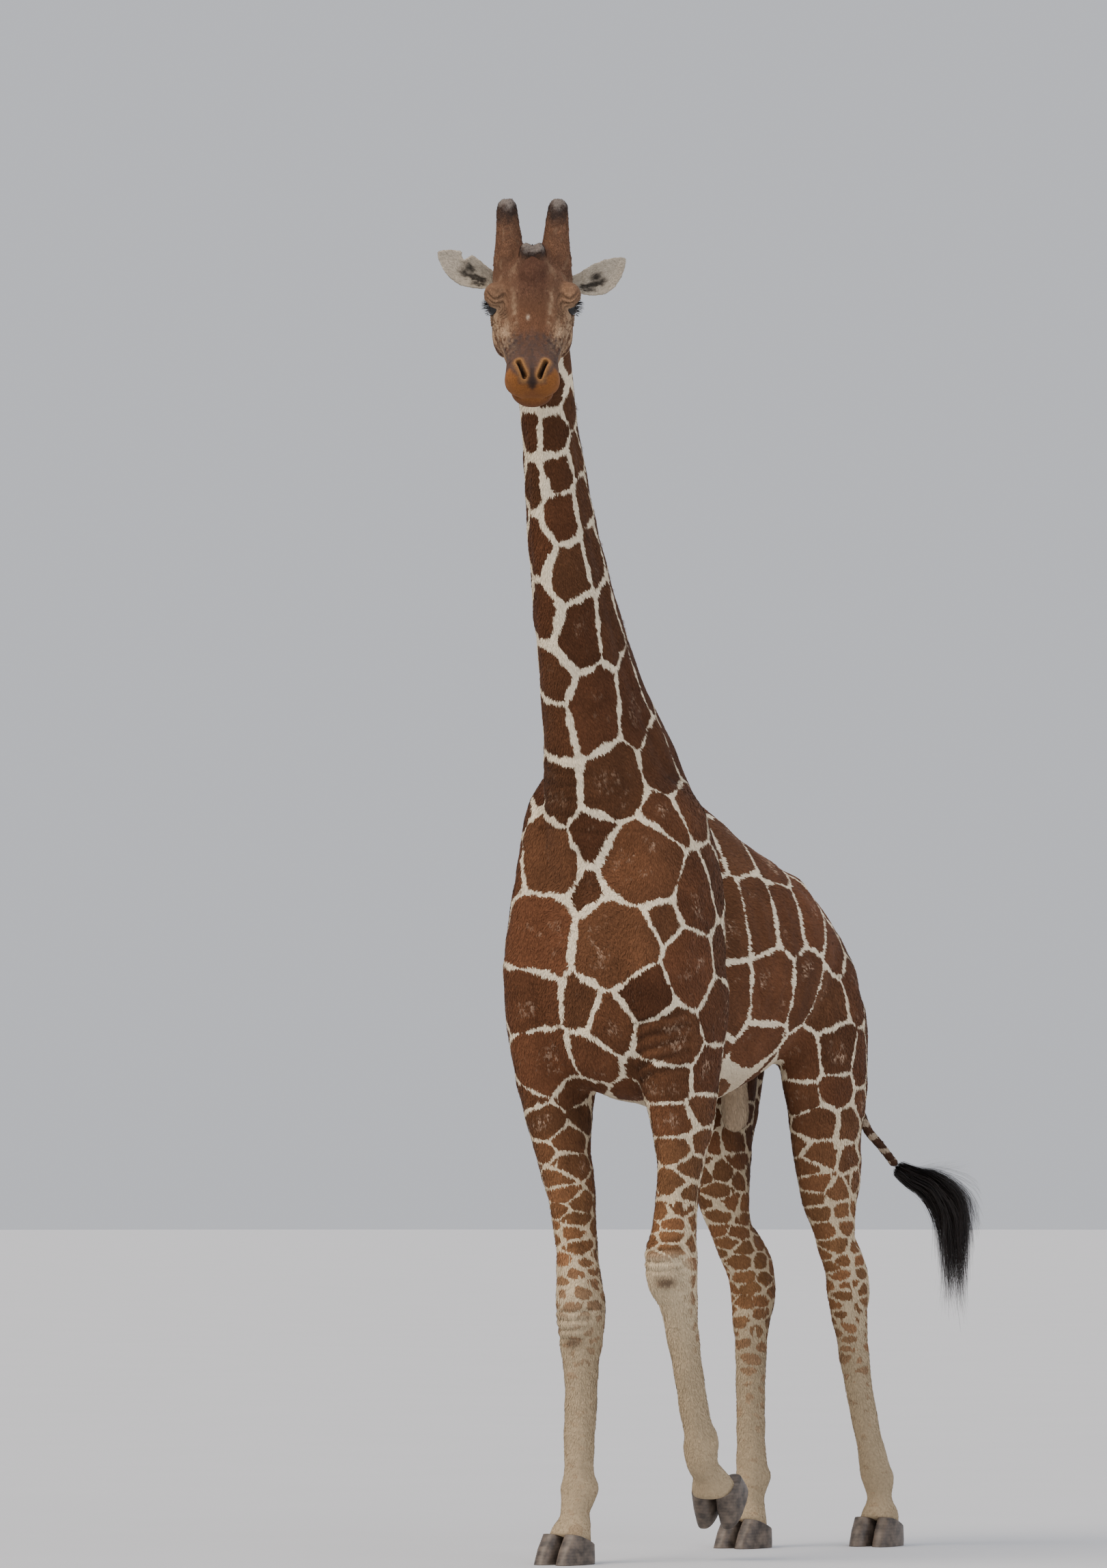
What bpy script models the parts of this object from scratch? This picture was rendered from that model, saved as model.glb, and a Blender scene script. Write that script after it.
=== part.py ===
"""Reticulated giraffe bull in mid stride, head turned to look over its left front.

Metres, +Z up, floor at z = 0.  The animal faces -Y and its left side is +X.
The flesh is modelled whole from lofted limbs, then parted by thin plane cuts.
"""
import math

import bmesh
import bpy
import numpy as np
from mathutils import Matrix, Vector

# ---------------------------------------------------------------- driving sizes
GAP = 0.0003                    # clearance between touching pieces
BODY_VOXEL = 0.015              # grid that welds the limbs to the trunk
HEAD_VOXEL = 0.0065             # finer grid for the head
BODY_TRIANGLES = 3350           # facets left on trunk, neck and legs together
HEAD_TRIANGLES = 1000
RING_SIDES = 24                 # points round a lofted section
LIMB_CUT_HEIGHT = 1.60          # legs part from the trunk here
BEHIND_FORELEGS = 1.00          # plane between the fore and the hind legs

FORWARD = Vector((0.0, -1.0, 0.0))
LEFT = Vector((1.0, 0.0, 0.0))
UP = Vector((0.0, 0.0, 1.0))

# Sections of a limb: x, y, z of its middle, half width across, half depth to the
# front, half depth to the back, squareness (2 is an ellipse).
TRUNK = (
    (0.00, -0.025, 2.36, 0.06, 0.10, 0.10, 2.0),
    (0.00, 0.010, 2.36, 0.17, 0.30, 0.28, 2.0),
    (0.00, 0.090, 2.36, 0.28, 0.50, 0.46, 2.1),
    (0.00, 0.250, 2.36, 0.335, 0.60, 0.56, 2.1),
    (0.00, 0.500, 2.36, 0.335, 0.63, 0.60, 1.9),
    (0.00, 0.750, 2.35, 0.350, 0.620, 0.610, 1.85),
    (0.00, 1.000, 2.34, 0.370, 0.520, 0.565, 1.9),
    (0.00, 1.250, 2.34, 0.372, 0.430, 0.470, 2.0),
    (0.00, 1.500, 2.34, 0.325, 0.325, 0.370, 2.0),
    (0.00, 1.680, 2.31, 0.250, 0.215, 0.270, 2.1),
    (0.00, 1.820, 2.25, 0.150, 0.130, 0.170, 2.0),
    (0.00, 1.885, 2.22, 0.050, 0.050, 0.070, 2.0),
)
NECK = (
    (0.00, 0.560, 2.38, 0.24, 0.44, 0.36, 2.0),
    (-0.01, 0.445, 2.68, 0.285, 0.470, 0.370, 2.0),
    (-0.008, 0.290, 3.00, 0.232, 0.395, 0.345, 2.0),
    (0.004, 0.128, 3.27, 0.176, 0.298, 0.272, 2.0),
    (0.018, -0.008, 3.51, 0.147, 0.235, 0.255, 2.0),
    (0.028, -0.140, 3.84, 0.126, 0.184, 0.190, 2.1),
    (0.036, -0.246, 4.19, 0.108, 0.142, 0.140, 2.1),
    (0.042, -0.305, 4.42, 0.102, 0.124, 0.121, 2.1),
    (0.050, -0.375, 4.62, 0.106, 0.120, 0.124, 2.1),
    (0.060, -0.420, 4.76, 0.095, 0.100, 0.110, 2.0),
)
FORE_RIGHT = (
    (-0.150, 0.470, 3.04, 0.080, 0.230, 0.150, 2.0),
    (-0.198, 0.360, 2.86, 0.160, 0.305, 0.240, 2.0),
    (-0.224, 0.338, 2.68, 0.160, 0.315, 0.280, 2.0),
    (-0.246, 0.322, 2.50, 0.160, 0.320, 0.310, 2.1),
    (-0.270, 0.298, 2.26, 0.152, 0.302, 0.325, 2.1),
    (-0.272, 0.298, 2.03, 0.140, 0.272, 0.300, 2.1),
    (-0.256, 0.280, 1.83, 0.122, 0.225, 0.225, 2.1),
    (-0.230, 0.270, 1.64, 0.100, 0.165, 0.160, 2.1),
    (-0.183, 0.262, 1.43, 0.083, 0.125, 0.130, 2.1),
    (-0.148, 0.252, 1.20, 0.074, 0.102, 0.112, 2.2),
    (-0.130, 0.240, 1.04, 0.083, 0.102, 0.114, 2.4),
    (-0.125, 0.235, 0.955, 0.085, 0.107, 0.117, 2.5),
    (-0.124, 0.235, 0.87, 0.077, 0.094, 0.112, 2.4),
    (-0.120, 0.232, 0.74, 0.063, 0.074, 0.096, 2.3),
    (-0.118, 0.222, 0.56, 0.058, 0.067, 0.083, 2.3),
    (-0.116, 0.208, 0.36, 0.057, 0.065, 0.080, 2.3),
    (-0.115, 0.195, 0.23, 0.065, 0.069, 0.082, 2.3),
    (-0.115, 0.155, 0.14, 0.076, 0.072, 0.080, 2.3),
    (-0.115, 0.125, 0.05, 0.094, 0.090, 0.092, 2.3),
)
FORE_LEFT = (
    (0.130, 0.450, 3.02, 0.070, 0.200, 0.100, 2.0),
    (0.178, 0.385, 2.86, 0.142, 0.300, 0.190, 2.0),
    (0.214, 0.358, 2.68, 0.152, 0.310, 0.280, 2.0),
    (0.236, 0.338, 2.52, 0.152, 0.315, 0.310, 2.1),
    (0.258, 0.300, 2.30, 0.142, 0.305, 0.330, 2.1),
    (0.268, 0.330, 2.08, 0.134, 0.275, 0.305, 2.1),
    (0.252, 0.350, 1.88, 0.129, 0.232, 0.232, 2.1),
    (0.262, 0.350, 1.70, 0.106, 0.178, 0.172, 2.1),
    (0.262, 0.325, 1.50, 0.078, 0.120, 0.130, 2.1),
    (0.262, 0.290, 1.30, 0.076, 0.105, 0.115, 2.2),
    (0.262, 0.265, 1.175, 0.092, 0.128, 0.118, 2.4),
    (0.262, 0.275, 1.095, 0.088, 0.122, 0.110, 2.4),
    (0.264, 0.305, 1.010, 0.070, 0.085, 0.103, 2.3),
    (0.266, 0.345, 0.860, 0.058, 0.067, 0.085, 2.3),
    (0.268, 0.405, 0.660, 0.055, 0.063, 0.077, 2.3),
    (0.270, 0.455, 0.500, 0.056, 0.062, 0.075, 2.3),
    (0.270, 0.490, 0.395, 0.062, 0.066, 0.078, 2.3),
    (0.270, 0.535, 0.325, 0.074, 0.070, 0.076, 2.3),
    (0.270, 0.600, 0.255, 0.090, 0.084, 0.088, 2.3),
)
HIND_RIGHT = (
    (-0.130, 1.530, 2.53, 0.070, 0.130, 0.120, 2.0),
    (-0.175, 1.550, 2.36, 0.130, 0.260, 0.190, 2.0),
    (-0.205, 1.540, 2.12, 0.150, 0.325, 0.265, 2.1),
    (-0.205, 1.490, 1.88, 0.130, 0.290, 0.275, 2.1),
    (-0.185, 1.440, 1.66, 0.110, 0.235, 0.240, 2.1),
    (-0.160, 1.430, 1.46, 0.090, 0.180, 0.185, 2.1),
    (-0.142, 1.485, 1.26, 0.068, 0.115, 0.135, 2.2),
    (-0.132, 1.585, 1.11, 0.070, 0.106, 0.163, 2.3),
    (-0.128, 1.622, 1.02, 0.073, 0.106, 0.150, 2.4),
    (-0.126, 1.612, 0.91, 0.068, 0.092, 0.110, 2.3),
    (-0.124, 1.605, 0.76, 0.060, 0.074, 0.086, 2.3),
    (-0.122, 1.600, 0.56, 0.056, 0.067, 0.078, 2.3),
    (-0.120, 1.600, 0.36, 0.057, 0.065, 0.077, 2.3),
    (-0.120, 1.602, 0.24, 0.062, 0.068, 0.078, 2.3),
    (-0.120, 1.580, 0.15, 0.072, 0.070, 0.076, 2.3),
    (-0.120, 1.555, 0.05, 0.090, 0.086, 0.088, 2.3),
)
HIND_LEFT = (
    (0.130, 1.540, 2.53, 0.070, 0.130, 0.120, 2.0),
    (0.175, 1.560, 2.36, 0.130, 0.260, 0.185, 2.0),
    (0.212, 1.585, 2.12, 0.150, 0.320, 0.252, 2.1),
    (0.225, 1.600, 1.88, 0.132, 0.290, 0.255, 2.1),
    (0.230, 1.595, 1.66, 0.112, 0.240, 0.228, 2.1),
    (0.236, 1.600, 1.44, 0.092, 0.185, 0.205, 2.1),
    (0.240, 1.645, 1.24, 0.068, 0.115, 0.135, 2.2),
    (0.242, 1.700, 1.12, 0.064, 0.100, 0.135, 2.3),
    (0.244, 1.735, 1.02, 0.070, 0.104, 0.136, 2.4),
    (0.246, 1.750, 0.91, 0.063, 0.087, 0.105, 2.3),
    (0.248, 1.785, 0.76, 0.055, 0.067, 0.080, 2.3),
    (0.252, 1.840, 0.58, 0.052, 0.062, 0.074, 2.3),
    (0.258, 1.910, 0.38, 0.054, 0.062, 0.074, 2.3),
    (0.262, 1.960, 0.25, 0.058, 0.064, 0.074, 2.3),
    (0.266, 1.968, 0.15, 0.072, 0.070, 0.076, 2.3),
    (0.268, 1.955, 0.05, 0.090, 0.086, 0.088, 2.3),
)

# Head in its own frame: along the nose from the eyes, up off the face, across.
HEAD_CENTRE = Vector((0.142, -0.590, 4.748))    # midway between the eyes
HEAD_YAW = math.radians(30.0)                   # turned to the animal's left
HEAD_DROP = math.radians(42.0)                  # nose below the horizontal
# along, middle height, half width, half height above, below, squareness
SKULL = (
    (-0.270, -0.030, 0.050, 0.060, 0.050, 2.0),
    (-0.245, -0.020, 0.105, 0.110, 0.110, 2.0),
    (-0.190, -0.015, 0.135, 0.135, 0.160, 2.1),
    (-0.120, -0.010, 0.145, 0.150, 0.185, 2.1),
    (-0.050, -0.020, 0.150, 0.135, 0.190, 2.1),
    (0.020, -0.035, 0.146, 0.108, 0.185, 2.1),
    (0.090, -0.045, 0.136, 0.078, 0.170, 2.1),
    (0.160, -0.055, 0.118, 0.066, 0.138, 2.2),
    (0.230, -0.065, 0.099, 0.062, 0.116, 2.3),
    (0.295, -0.075, 0.100, 0.064, 0.110, 2.4),
    (0.350, -0.085, 0.098, 0.060, 0.094, 2.4),
    (0.385, -0.095, 0.064, 0.042, 0.062, 2.2),
    (0.400, -0.100, 0.025, 0.018, 0.022, 2.0),
)
# Swellings on the skull: name, along, up, across, then the three half sizes.
# A swelling away from the midline is made on both sides.
SWELLINGS = (
    ("brow", -0.035, 0.036, 0.138, 0.064, 0.044, 0.047),
    ("cheekbone", 0.005, -0.040, 0.128, 0.080, 0.045, 0.034),
    ("jaw muscle", -0.020, -0.120, 0.100, 0.120, 0.092, 0.054),
    ("nostril pad", 0.330, -0.058, 0.044, 0.056, 0.044, 0.040),
    ("horn root", -0.190, 0.085, 0.088, 0.062, 0.060, 0.062),
    ("forehead", -0.120, 0.095, 0.000, 0.110, 0.066, 0.080),
    ("lower lip", 0.300, -0.165, 0.000, 0.078, 0.052, 0.082),
)
EYE_ALONG = 0.000
EYE_UP = 0.000
EYE_ACROSS = 0.141
EYE_RADIUS = 0.029
# Horn sections in the head's frame: along, up, across, half width, depths, squareness.
HORN = (
    (-0.180, 0.070, 0.085, 0.066, 0.060, 0.062, 2.0),
    (-0.197, 0.110, 0.086, 0.059, 0.053, 0.055, 2.0),
    (-0.232, 0.160, 0.090, 0.050, 0.044, 0.046, 2.0),
    (-0.266, 0.204, 0.093, 0.0445, 0.039, 0.041, 2.1),
    (-0.294, 0.237, 0.096, 0.0390, 0.038, 0.039, 2.2),
    (-0.314, 0.261, 0.096, 0.033, 0.033, 0.034, 2.2),
    (-0.326, 0.275, 0.096, 0.018, 0.018, 0.018, 2.0),
)
MEDIAN_HORN = (
    (-0.125, 0.110, 0.000, 0.056, 0.040, 0.044, 2.0),
    (-0.140, 0.140, 0.000, 0.053, 0.036, 0.040, 2.0),
    (-0.153, 0.165, 0.000, 0.045, 0.028, 0.032, 2.1),
    (-0.160, 0.180, 0.000, 0.024, 0.014, 0.016, 2.0),
)
# Ears in the head's frame: root, axis towards the tip, length, how far the middle sags.
RIGHT_EAR = ((-0.195, -0.022, 0.128), (-0.085, 0.072, 0.215), 0.262, 0.012)
LEFT_EAR = ((-0.195, -0.030, 0.128), (-0.085, 0.054, 0.215), 0.250, 0.030)
EAR_FACE = (0.790, 0.590, 0.160)        # the hollow of the ear looks this way
EAR_SHELL = 0.009
# fraction of the length, half width, how deep the cup is for its half width
EAR_SECTIONS = (
    (0.00, 0.036, 0.90),
    (0.15, 0.040, 0.75),
    (0.32, 0.054, 0.50),
    (0.50, 0.064, 0.34),
    (0.68, 0.059, 0.26),
    (0.84, 0.042, 0.20),
    (0.95, 0.022, 0.14),
    (1.00, 0.008, 0.10),
)
TORN_NOTCH = (0.62, 0.055, 0.030)       # place along, half length, depth from the edge
TAIL = (
    (0.000, 1.820, 2.300, 0.060, 0.060, 0.060, 2.0),
    (0.008, 1.900, 2.225, 0.046, 0.044, 0.046, 2.0),
    (0.035, 1.985, 2.070, 0.034, 0.032, 0.034, 2.0),
    (0.075, 2.060, 1.870, 0.026, 0.026, 0.026, 2.0),
    (0.130, 2.123, 1.672, 0.021, 0.021, 0.021, 2.0),
    (0.170, 2.171, 1.600, 0.019, 0.019, 0.019, 2.0),
    (0.210, 2.225, 1.520, 0.019, 0.019, 0.019, 2.0),
)
TAIL_TUFT = (
    (0.215, 2.232, 1.512, 0.024, 0.024, 0.024, 2.0),
    (0.245, 2.285, 1.478, 0.036, 0.042, 0.038, 2.0),
    (0.295, 2.385, 1.430, 0.046, 0.088, 0.060, 2.0),
    (0.335, 2.455, 1.340, 0.050, 0.120, 0.070, 2.0),
    (0.350, 2.462, 1.220, 0.042, 0.080, 0.060, 2.0),
    (0.356, 2.462, 1.100, 0.034, 0.050, 0.046, 2.0),
    (0.360, 2.463, 0.985, 0.022, 0.026, 0.028, 2.0),
    (0.360, 2.463, 0.930, 0.006, 0.006, 0.006, 2.0),
)
SCROTUM = (
    (0.005, 1.225, 1.900, 0.048, 0.066, 0.066, 2.0),
    (0.005, 1.240, 1.800, 0.056, 0.062, 0.062, 2.0),
    (0.005, 1.245, 1.720, 0.058, 0.060, 0.060, 2.0),
    (0.005, 1.245, 1.672, 0.044, 0.046, 0.046, 2.0),
    (0.005, 1.245, 1.652, 0.016, 0.016, 0.016, 2.0),
)
MANE_HEIGHT = 0.075
MANE_HALF_WIDTH = 0.020
MANE_SPAN = (0.20, 0.97)                # share of the neck's length that it covers

# Hoofs: every foot is two claws on a common frame, its origin on the sole.
CLAW_HALF_WIDTH = 0.047
CLAW_OFFSET = 0.050                     # from the foot's midline to a claw's
# height, shift to the front, half width, front half length, back half length
CLAW = (
    (0.000, 0.006, 0.047, 0.120, 0.096),
    (0.022, 0.005, 0.0475, 0.110, 0.096),
    (0.060, 0.004, 0.046, 0.092, 0.094),
    (0.100, -0.002, 0.043, 0.068, 0.088),
    (0.135, -0.006, 0.040, 0.050, 0.080),
)
CORONET_FRONT_HEIGHT = 0.128
CORONET_BACK_HEIGHT = 0.070
CORONET_RUN = 0.17                      # from the front of the coronet to its back


class Foot:
    """Where a foot stands: the middle of its sole, its yaw and its toe-down pitch."""

    def __init__(self, name, sole, yaw_deg, pitch_deg):
        self.name = name
        turn = Matrix.Rotation(math.radians(yaw_deg), 4, "Z")
        tip = Matrix.Rotation(math.radians(pitch_deg), 4, "X")
        self.frame = Matrix.Translation(sole) @ turn @ tip


# Cuts that part the neck: a point on its path and the way up it.
NECK_CUTS = {
    "base": (Vector((0.005, 0.240, 3.090)), Vector((0.0, -0.45, 0.89)).normalized()),
    "middle": (Vector((0.026, -0.110, 3.760)), Vector((0.0, -0.38, 0.92)).normalized()),
    "throat": (Vector((0.042, -0.312, 4.450)), Vector((0.0, -0.34, 0.94)).normalized()),
}
# Height at which each leg is parted above its knee or hock.
JOINT_CUTS = {"fore_right": 1.09, "fore_left": 1.29, "hind_right": 1.19, "hind_left": 1.19}

FEET = (
    Foot("fore_right", (-0.115, 0.115, 0.0), -4.0, 0.0),
    Foot("fore_left", (0.270, 0.662, 0.222), 4.0, 52.0),
    Foot("hind_right", (-0.120, 1.550, 0.0), -5.0, 0.0),
    Foot("hind_left", (0.268, 1.950, 0.0), 5.0, 0.0),
)

COLOURS = {
    "patch": ((0.20, 0.075, 0.035, 1.0), 0.75),
    "skull": ((0.24, 0.11, 0.06, 1.0), 0.75),
    "leg": ((0.52, 0.40, 0.29, 1.0), 0.80),
    "horn": ((0.10, 0.075, 0.06, 1.0), 0.60),
    "hoof": ((0.045, 0.035, 0.028, 1.0), 0.45),
    "ear": ((0.55, 0.50, 0.44, 1.0), 0.80),
    "eye": ((0.010, 0.007, 0.006, 1.0), 0.08),
    "mane": ((0.22, 0.12, 0.08, 1.0), 0.85),
    "tuft": ((0.012, 0.010, 0.010, 1.0), 0.70),
}


# ---------------------------------------------------------------- sections and lofts
def spline(rows, count):
    """Read `count` rows and their slopes off a smooth curve through the given rows."""
    rows = np.array(rows, dtype=float)
    steps = np.linalg.norm(np.diff(rows[:, :3], axis=0), axis=1)
    arc = np.concatenate(([0.0], np.cumsum(steps)))
    slopes = np.zeros_like(rows)
    slopes[1:-1] = (rows[2:] - rows[:-2]) / (arc[2:] - arc[:-2])[:, None]
    slopes[0] = (rows[1] - rows[0]) / arc[1]
    slopes[-1] = (rows[-1] - rows[-2]) / (arc[-1] - arc[-2])
    along = np.linspace(0.0, arc[-1], count)
    index = np.clip(np.searchsorted(arc, along) - 1, 0, len(arc) - 2)
    width = (arc[index + 1] - arc[index])[:, None]
    t = (along - arc[index])[:, None] / width
    start, end = rows[index], rows[index + 1]
    lead, tail = slopes[index] * width, slopes[index + 1] * width
    value = (
        (2 * t**3 - 3 * t**2 + 1) * start
        + (t**3 - 2 * t**2 + t) * lead
        + (3 * t**2 - 2 * t**3) * end
        + (t**3 - t**2) * tail
    )
    slope = (
        (6 * t**2 - 6 * t) * (start - end)
        + (3 * t**2 - 4 * t + 1) * lead
        + (3 * t**2 - 2 * t) * tail
    ) / width
    return value, slope


def path_frames(slope, front):
    """Unit vectors to the front and across, square to the path at each row."""
    tangent = slope[:, :3] / np.linalg.norm(slope[:, :3], axis=1)[:, None]
    toward = np.tile(np.array(front, dtype=float), (len(tangent), 1))
    toward -= (toward * tangent).sum(axis=1)[:, None] * tangent
    toward /= np.linalg.norm(toward, axis=1)[:, None]
    return toward, np.cross(tangent, toward)


def loft_rings(rows, front, count, sides=RING_SIDES):
    """Rings of a limb: superellipse sections carried along its path."""
    value, slope = spline(rows, count)
    toward, across = path_frames(slope, front)
    angle = np.linspace(0.0, 2.0 * math.pi, sides, endpoint=False)
    cosine, sine = np.cos(angle), np.sin(angle)
    power = (2.0 / value[:, 6])[:, None]
    side = value[:, 3][:, None] * np.sign(cosine) * np.abs(cosine) ** power
    depth = np.where(sine > 0.0, value[:, 4][:, None], value[:, 5][:, None])
    depth = depth * np.sign(sine) * np.abs(sine) ** power
    middle = value[:, None, :3]
    return middle + side[..., None] * across[:, None] + depth[..., None] * toward[:, None]


def skin_rings(mesh, rings):
    """Add a closed tube through the rings, its ends closed by fans."""
    count, sides = rings.shape[:2]
    points = [[mesh.verts.new(point) for point in ring] for ring in rings]
    for i in range(count - 1):
        for j in range(sides):
            k = (j + 1) % sides
            mesh.faces.new((points[i][j], points[i][k], points[i + 1][k], points[i + 1][j]))
    for ring, row in ((rings[0], points[0]), (rings[-1], points[-1])):
        pole = mesh.verts.new(ring.mean(axis=0))
        for j in range(sides):
            mesh.faces.new((row[j], row[(j + 1) % sides], pole))


def add_loft(mesh, rows, front, count, sides=RING_SIDES):
    """Add one lofted limb to the mesh."""
    skin_rings(mesh, loft_rings(rows, front, count, sides))


# ---------------------------------------------------------------- the head's frame
FACING = Vector((math.sin(HEAD_YAW), -math.cos(HEAD_YAW), 0.0))
HEAD_ALONG = FACING * math.cos(HEAD_DROP) - UP * math.sin(HEAD_DROP)
HEAD_UP = FACING * math.sin(HEAD_DROP) + UP * math.cos(HEAD_DROP)
HEAD_ACROSS = Vector((math.cos(HEAD_YAW), math.sin(HEAD_YAW), 0.0))
HEAD_FRAME = Matrix.Translation(HEAD_CENTRE) @ Matrix(
    (
        (HEAD_ALONG.x, HEAD_UP.x, HEAD_ACROSS.x, 0.0),
        (HEAD_ALONG.y, HEAD_UP.y, HEAD_ACROSS.y, 0.0),
        (HEAD_ALONG.z, HEAD_UP.z, HEAD_ACROSS.z, 0.0),
        (0.0, 0.0, 0.0, 1.0),
    )
)


def on_head(along, up, across):
    """World place of a point given in the head's frame."""
    return HEAD_FRAME @ Vector((along, up, across))


def head_rows(rows, side=1.0):
    """Sections given in the head's frame, placed in the world."""
    return [(*on_head(row[0], row[1], side * row[2]), *row[3:]) for row in rows]


# ---------------------------------------------------------------- mesh helpers
def new_object(name, mesh, collection):
    """Turn a bmesh into an object of the collection, its faces pointing outwards."""
    bmesh.ops.recalc_face_normals(mesh, faces=mesh.faces[:])
    data = bpy.data.meshes.new(name)
    mesh.to_mesh(data)
    mesh.free()
    obj = bpy.data.objects.new(name, data)
    collection.objects.link(obj)
    return obj


def settle(obj):
    """Apply an object's modifiers, so that its mesh is what they make."""
    bpy.context.view_layer.update()
    graph = bpy.context.evaluated_depsgraph_get()
    data = bpy.data.meshes.new_from_object(obj.evaluated_get(graph))
    obj.modifiers.clear()
    obj.data = data
    return obj


def weld(obj, voxel, smoothing):
    """Melt overlapping limbs into one closed skin and soften the joins."""
    remesh = obj.modifiers.new("weld", "REMESH")
    remesh.mode = "VOXEL"
    remesh.voxel_size = voxel
    smooth = obj.modifiers.new("soften", "SMOOTH")
    smooth.factor = 0.5
    smooth.iterations = smoothing
    return settle(obj)


def thin_out(obj, triangles):
    """Collapse edges until about that many triangles are left."""
    obj.data.calc_loop_triangles()
    reduce = obj.modifiers.new("thin_out", "DECIMATE")
    reduce.ratio = triangles / len(obj.data.loop_triangles)
    reduce.use_collapse_triangulate = True
    return settle(obj)


def drop_slivers(obj):
    """Keep only the largest connected piece of a trimmed solid."""
    mesh = bmesh.new()
    mesh.from_mesh(obj.data)
    waiting = set(mesh.verts)
    islands = []
    while waiting:
        island = set()
        front = [waiting.pop()]
        while front:
            vert = front.pop()
            island.add(vert)
            near = {edge.other_vert(vert) for edge in vert.link_edges} & waiting
            waiting -= near
            front.extend(near)
        islands.append(island)
    largest = max(islands, key=len)
    loose = [vert for vert in mesh.verts if vert not in largest]
    bmesh.ops.delete(mesh, geom=loose, context="VERTS")
    mesh.to_mesh(obj.data)
    mesh.free()
    return obj


def subtract(obj, cutter):
    """Cut one closed solid out of another and drop what is left loose."""
    cut = obj.modifiers.new("cut", "BOOLEAN")
    cut.operation = "DIFFERENCE"
    cut.solver = "EXACT"
    cut.object = cutter
    return drop_slivers(settle(obj))


def grown(obj, distance, cutters):
    """A cutter: the object's shape moved outwards by the distance."""
    mesh = bmesh.new()
    mesh.from_mesh(obj.data)
    mesh.normal_update()
    moves = [vert.normal * distance for vert in mesh.verts]
    for vert, move in zip(mesh.verts, moves):
        vert.co += move
    cutter = new_object(obj.name + "_cutter", mesh, cutters)
    cutter.hide_render = True
    cutter.display_type = "WIRE"
    return cutter


def keep(mesh, point, normal):
    """Keep what lies ahead of the plane and close the cut."""
    geometry = mesh.verts[:] + mesh.edges[:] + mesh.faces[:]
    cut = bmesh.ops.bisect_plane(
        mesh, geom=geometry, dist=1e-6, plane_co=point, plane_no=normal, clear_inner=True
    )
    rim = [item for item in cut["geom_cut"] if isinstance(item, bmesh.types.BMEdge)]
    bmesh.ops.holes_fill(mesh, edges=rim, sides=0)


def cut_piece(source, name, planes, collection):
    """A piece of the source bounded by planes, each a point and the side to keep."""
    mesh = bmesh.new()
    mesh.from_mesh(source.data)
    for point, normal in planes:
        keep(mesh, point, normal)
    bmesh.ops.triangulate(mesh, faces=mesh.faces[:])
    return new_object(name, mesh, collection)


def paint(obj, key):
    """Give the object its own Principled material."""
    colour, roughness = COLOURS[key]
    material = bpy.data.materials.new(obj.name)
    material.use_nodes = True
    shader = material.node_tree.nodes["Principled BSDF"]
    shader.inputs["Base Color"].default_value = colour
    shader.inputs["Roughness"].default_value = roughness
    shader.inputs["Metallic"].default_value = 0.0
    obj.data.materials.clear()
    obj.data.materials.append(material)
    return obj


# ---------------------------------------------------------------- the body
def body_flesh(cutters):
    """Trunk, neck and legs as one closed, thinned skin."""
    mesh = bmesh.new()
    add_loft(mesh, TRUNK, UP, 60, 40)
    add_loft(mesh, NECK, FORWARD, 70, 32)
    add_loft(mesh, SCROTUM, FORWARD, 16)
    for limb in (FORE_RIGHT, FORE_LEFT, HIND_RIGHT, HIND_LEFT):
        add_loft(mesh, limb, FORWARD, 90)
    body = new_object("flesh", mesh, cutters)
    weld(body, BODY_VOXEL, 6)
    return thin_out(body, BODY_TRIANGLES)


def head_flesh(cutters):
    """Skull with its swellings and the top of the neck, as one closed skin."""
    mesh = bmesh.new()
    skull = [(*on_head(row[0], row[1], 0.0), *row[2:]) for row in SKULL]
    add_loft(mesh, skull, HEAD_UP, 60, 40)
    add_loft(mesh, NECK[-4:], FORWARD, 24, 32)
    for _name, along, up, across, length, height, width in SWELLINGS:
        for side in (-1.0, 1.0) if across else (1.0,):
            shape = Matrix.Diagonal((length, height, width, 1.0))
            place = HEAD_FRAME @ Matrix.Translation((along, up, side * across)) @ shape
            bmesh.ops.create_icosphere(mesh, subdivisions=3, radius=1.0, matrix=place)
    head = new_object("head_flesh", mesh, cutters)
    weld(head, HEAD_VOXEL, 4)
    return thin_out(head, HEAD_TRIANGLES)


def above(height):
    """The half space over a level."""
    return Vector((0.0, 0.0, height)), UP


def below(height):
    """The half space under a level."""
    return Vector((0.0, 0.0, height)), -UP


def past(cut, side):
    """One side of a cut across the neck, half a gap clear of it."""
    point, normal = cut
    return point + normal * side * GAP / 2.0, normal * side


def coronet(foot, side):
    """The plane where skin gives way to horn, seen from above or below."""
    rise = (CORONET_FRONT_HEIGHT - CORONET_BACK_HEIGHT) / CORONET_RUN
    level = (CORONET_FRONT_HEIGHT + CORONET_BACK_HEIGHT) / 2.0
    normal = (foot.frame.to_3x3() @ Vector((0.0, rise, 1.0))).normalized()
    point = foot.frame @ Vector((0.0, 0.0, level))
    return point + normal * side * GAP / 2.0, normal * side


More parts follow.
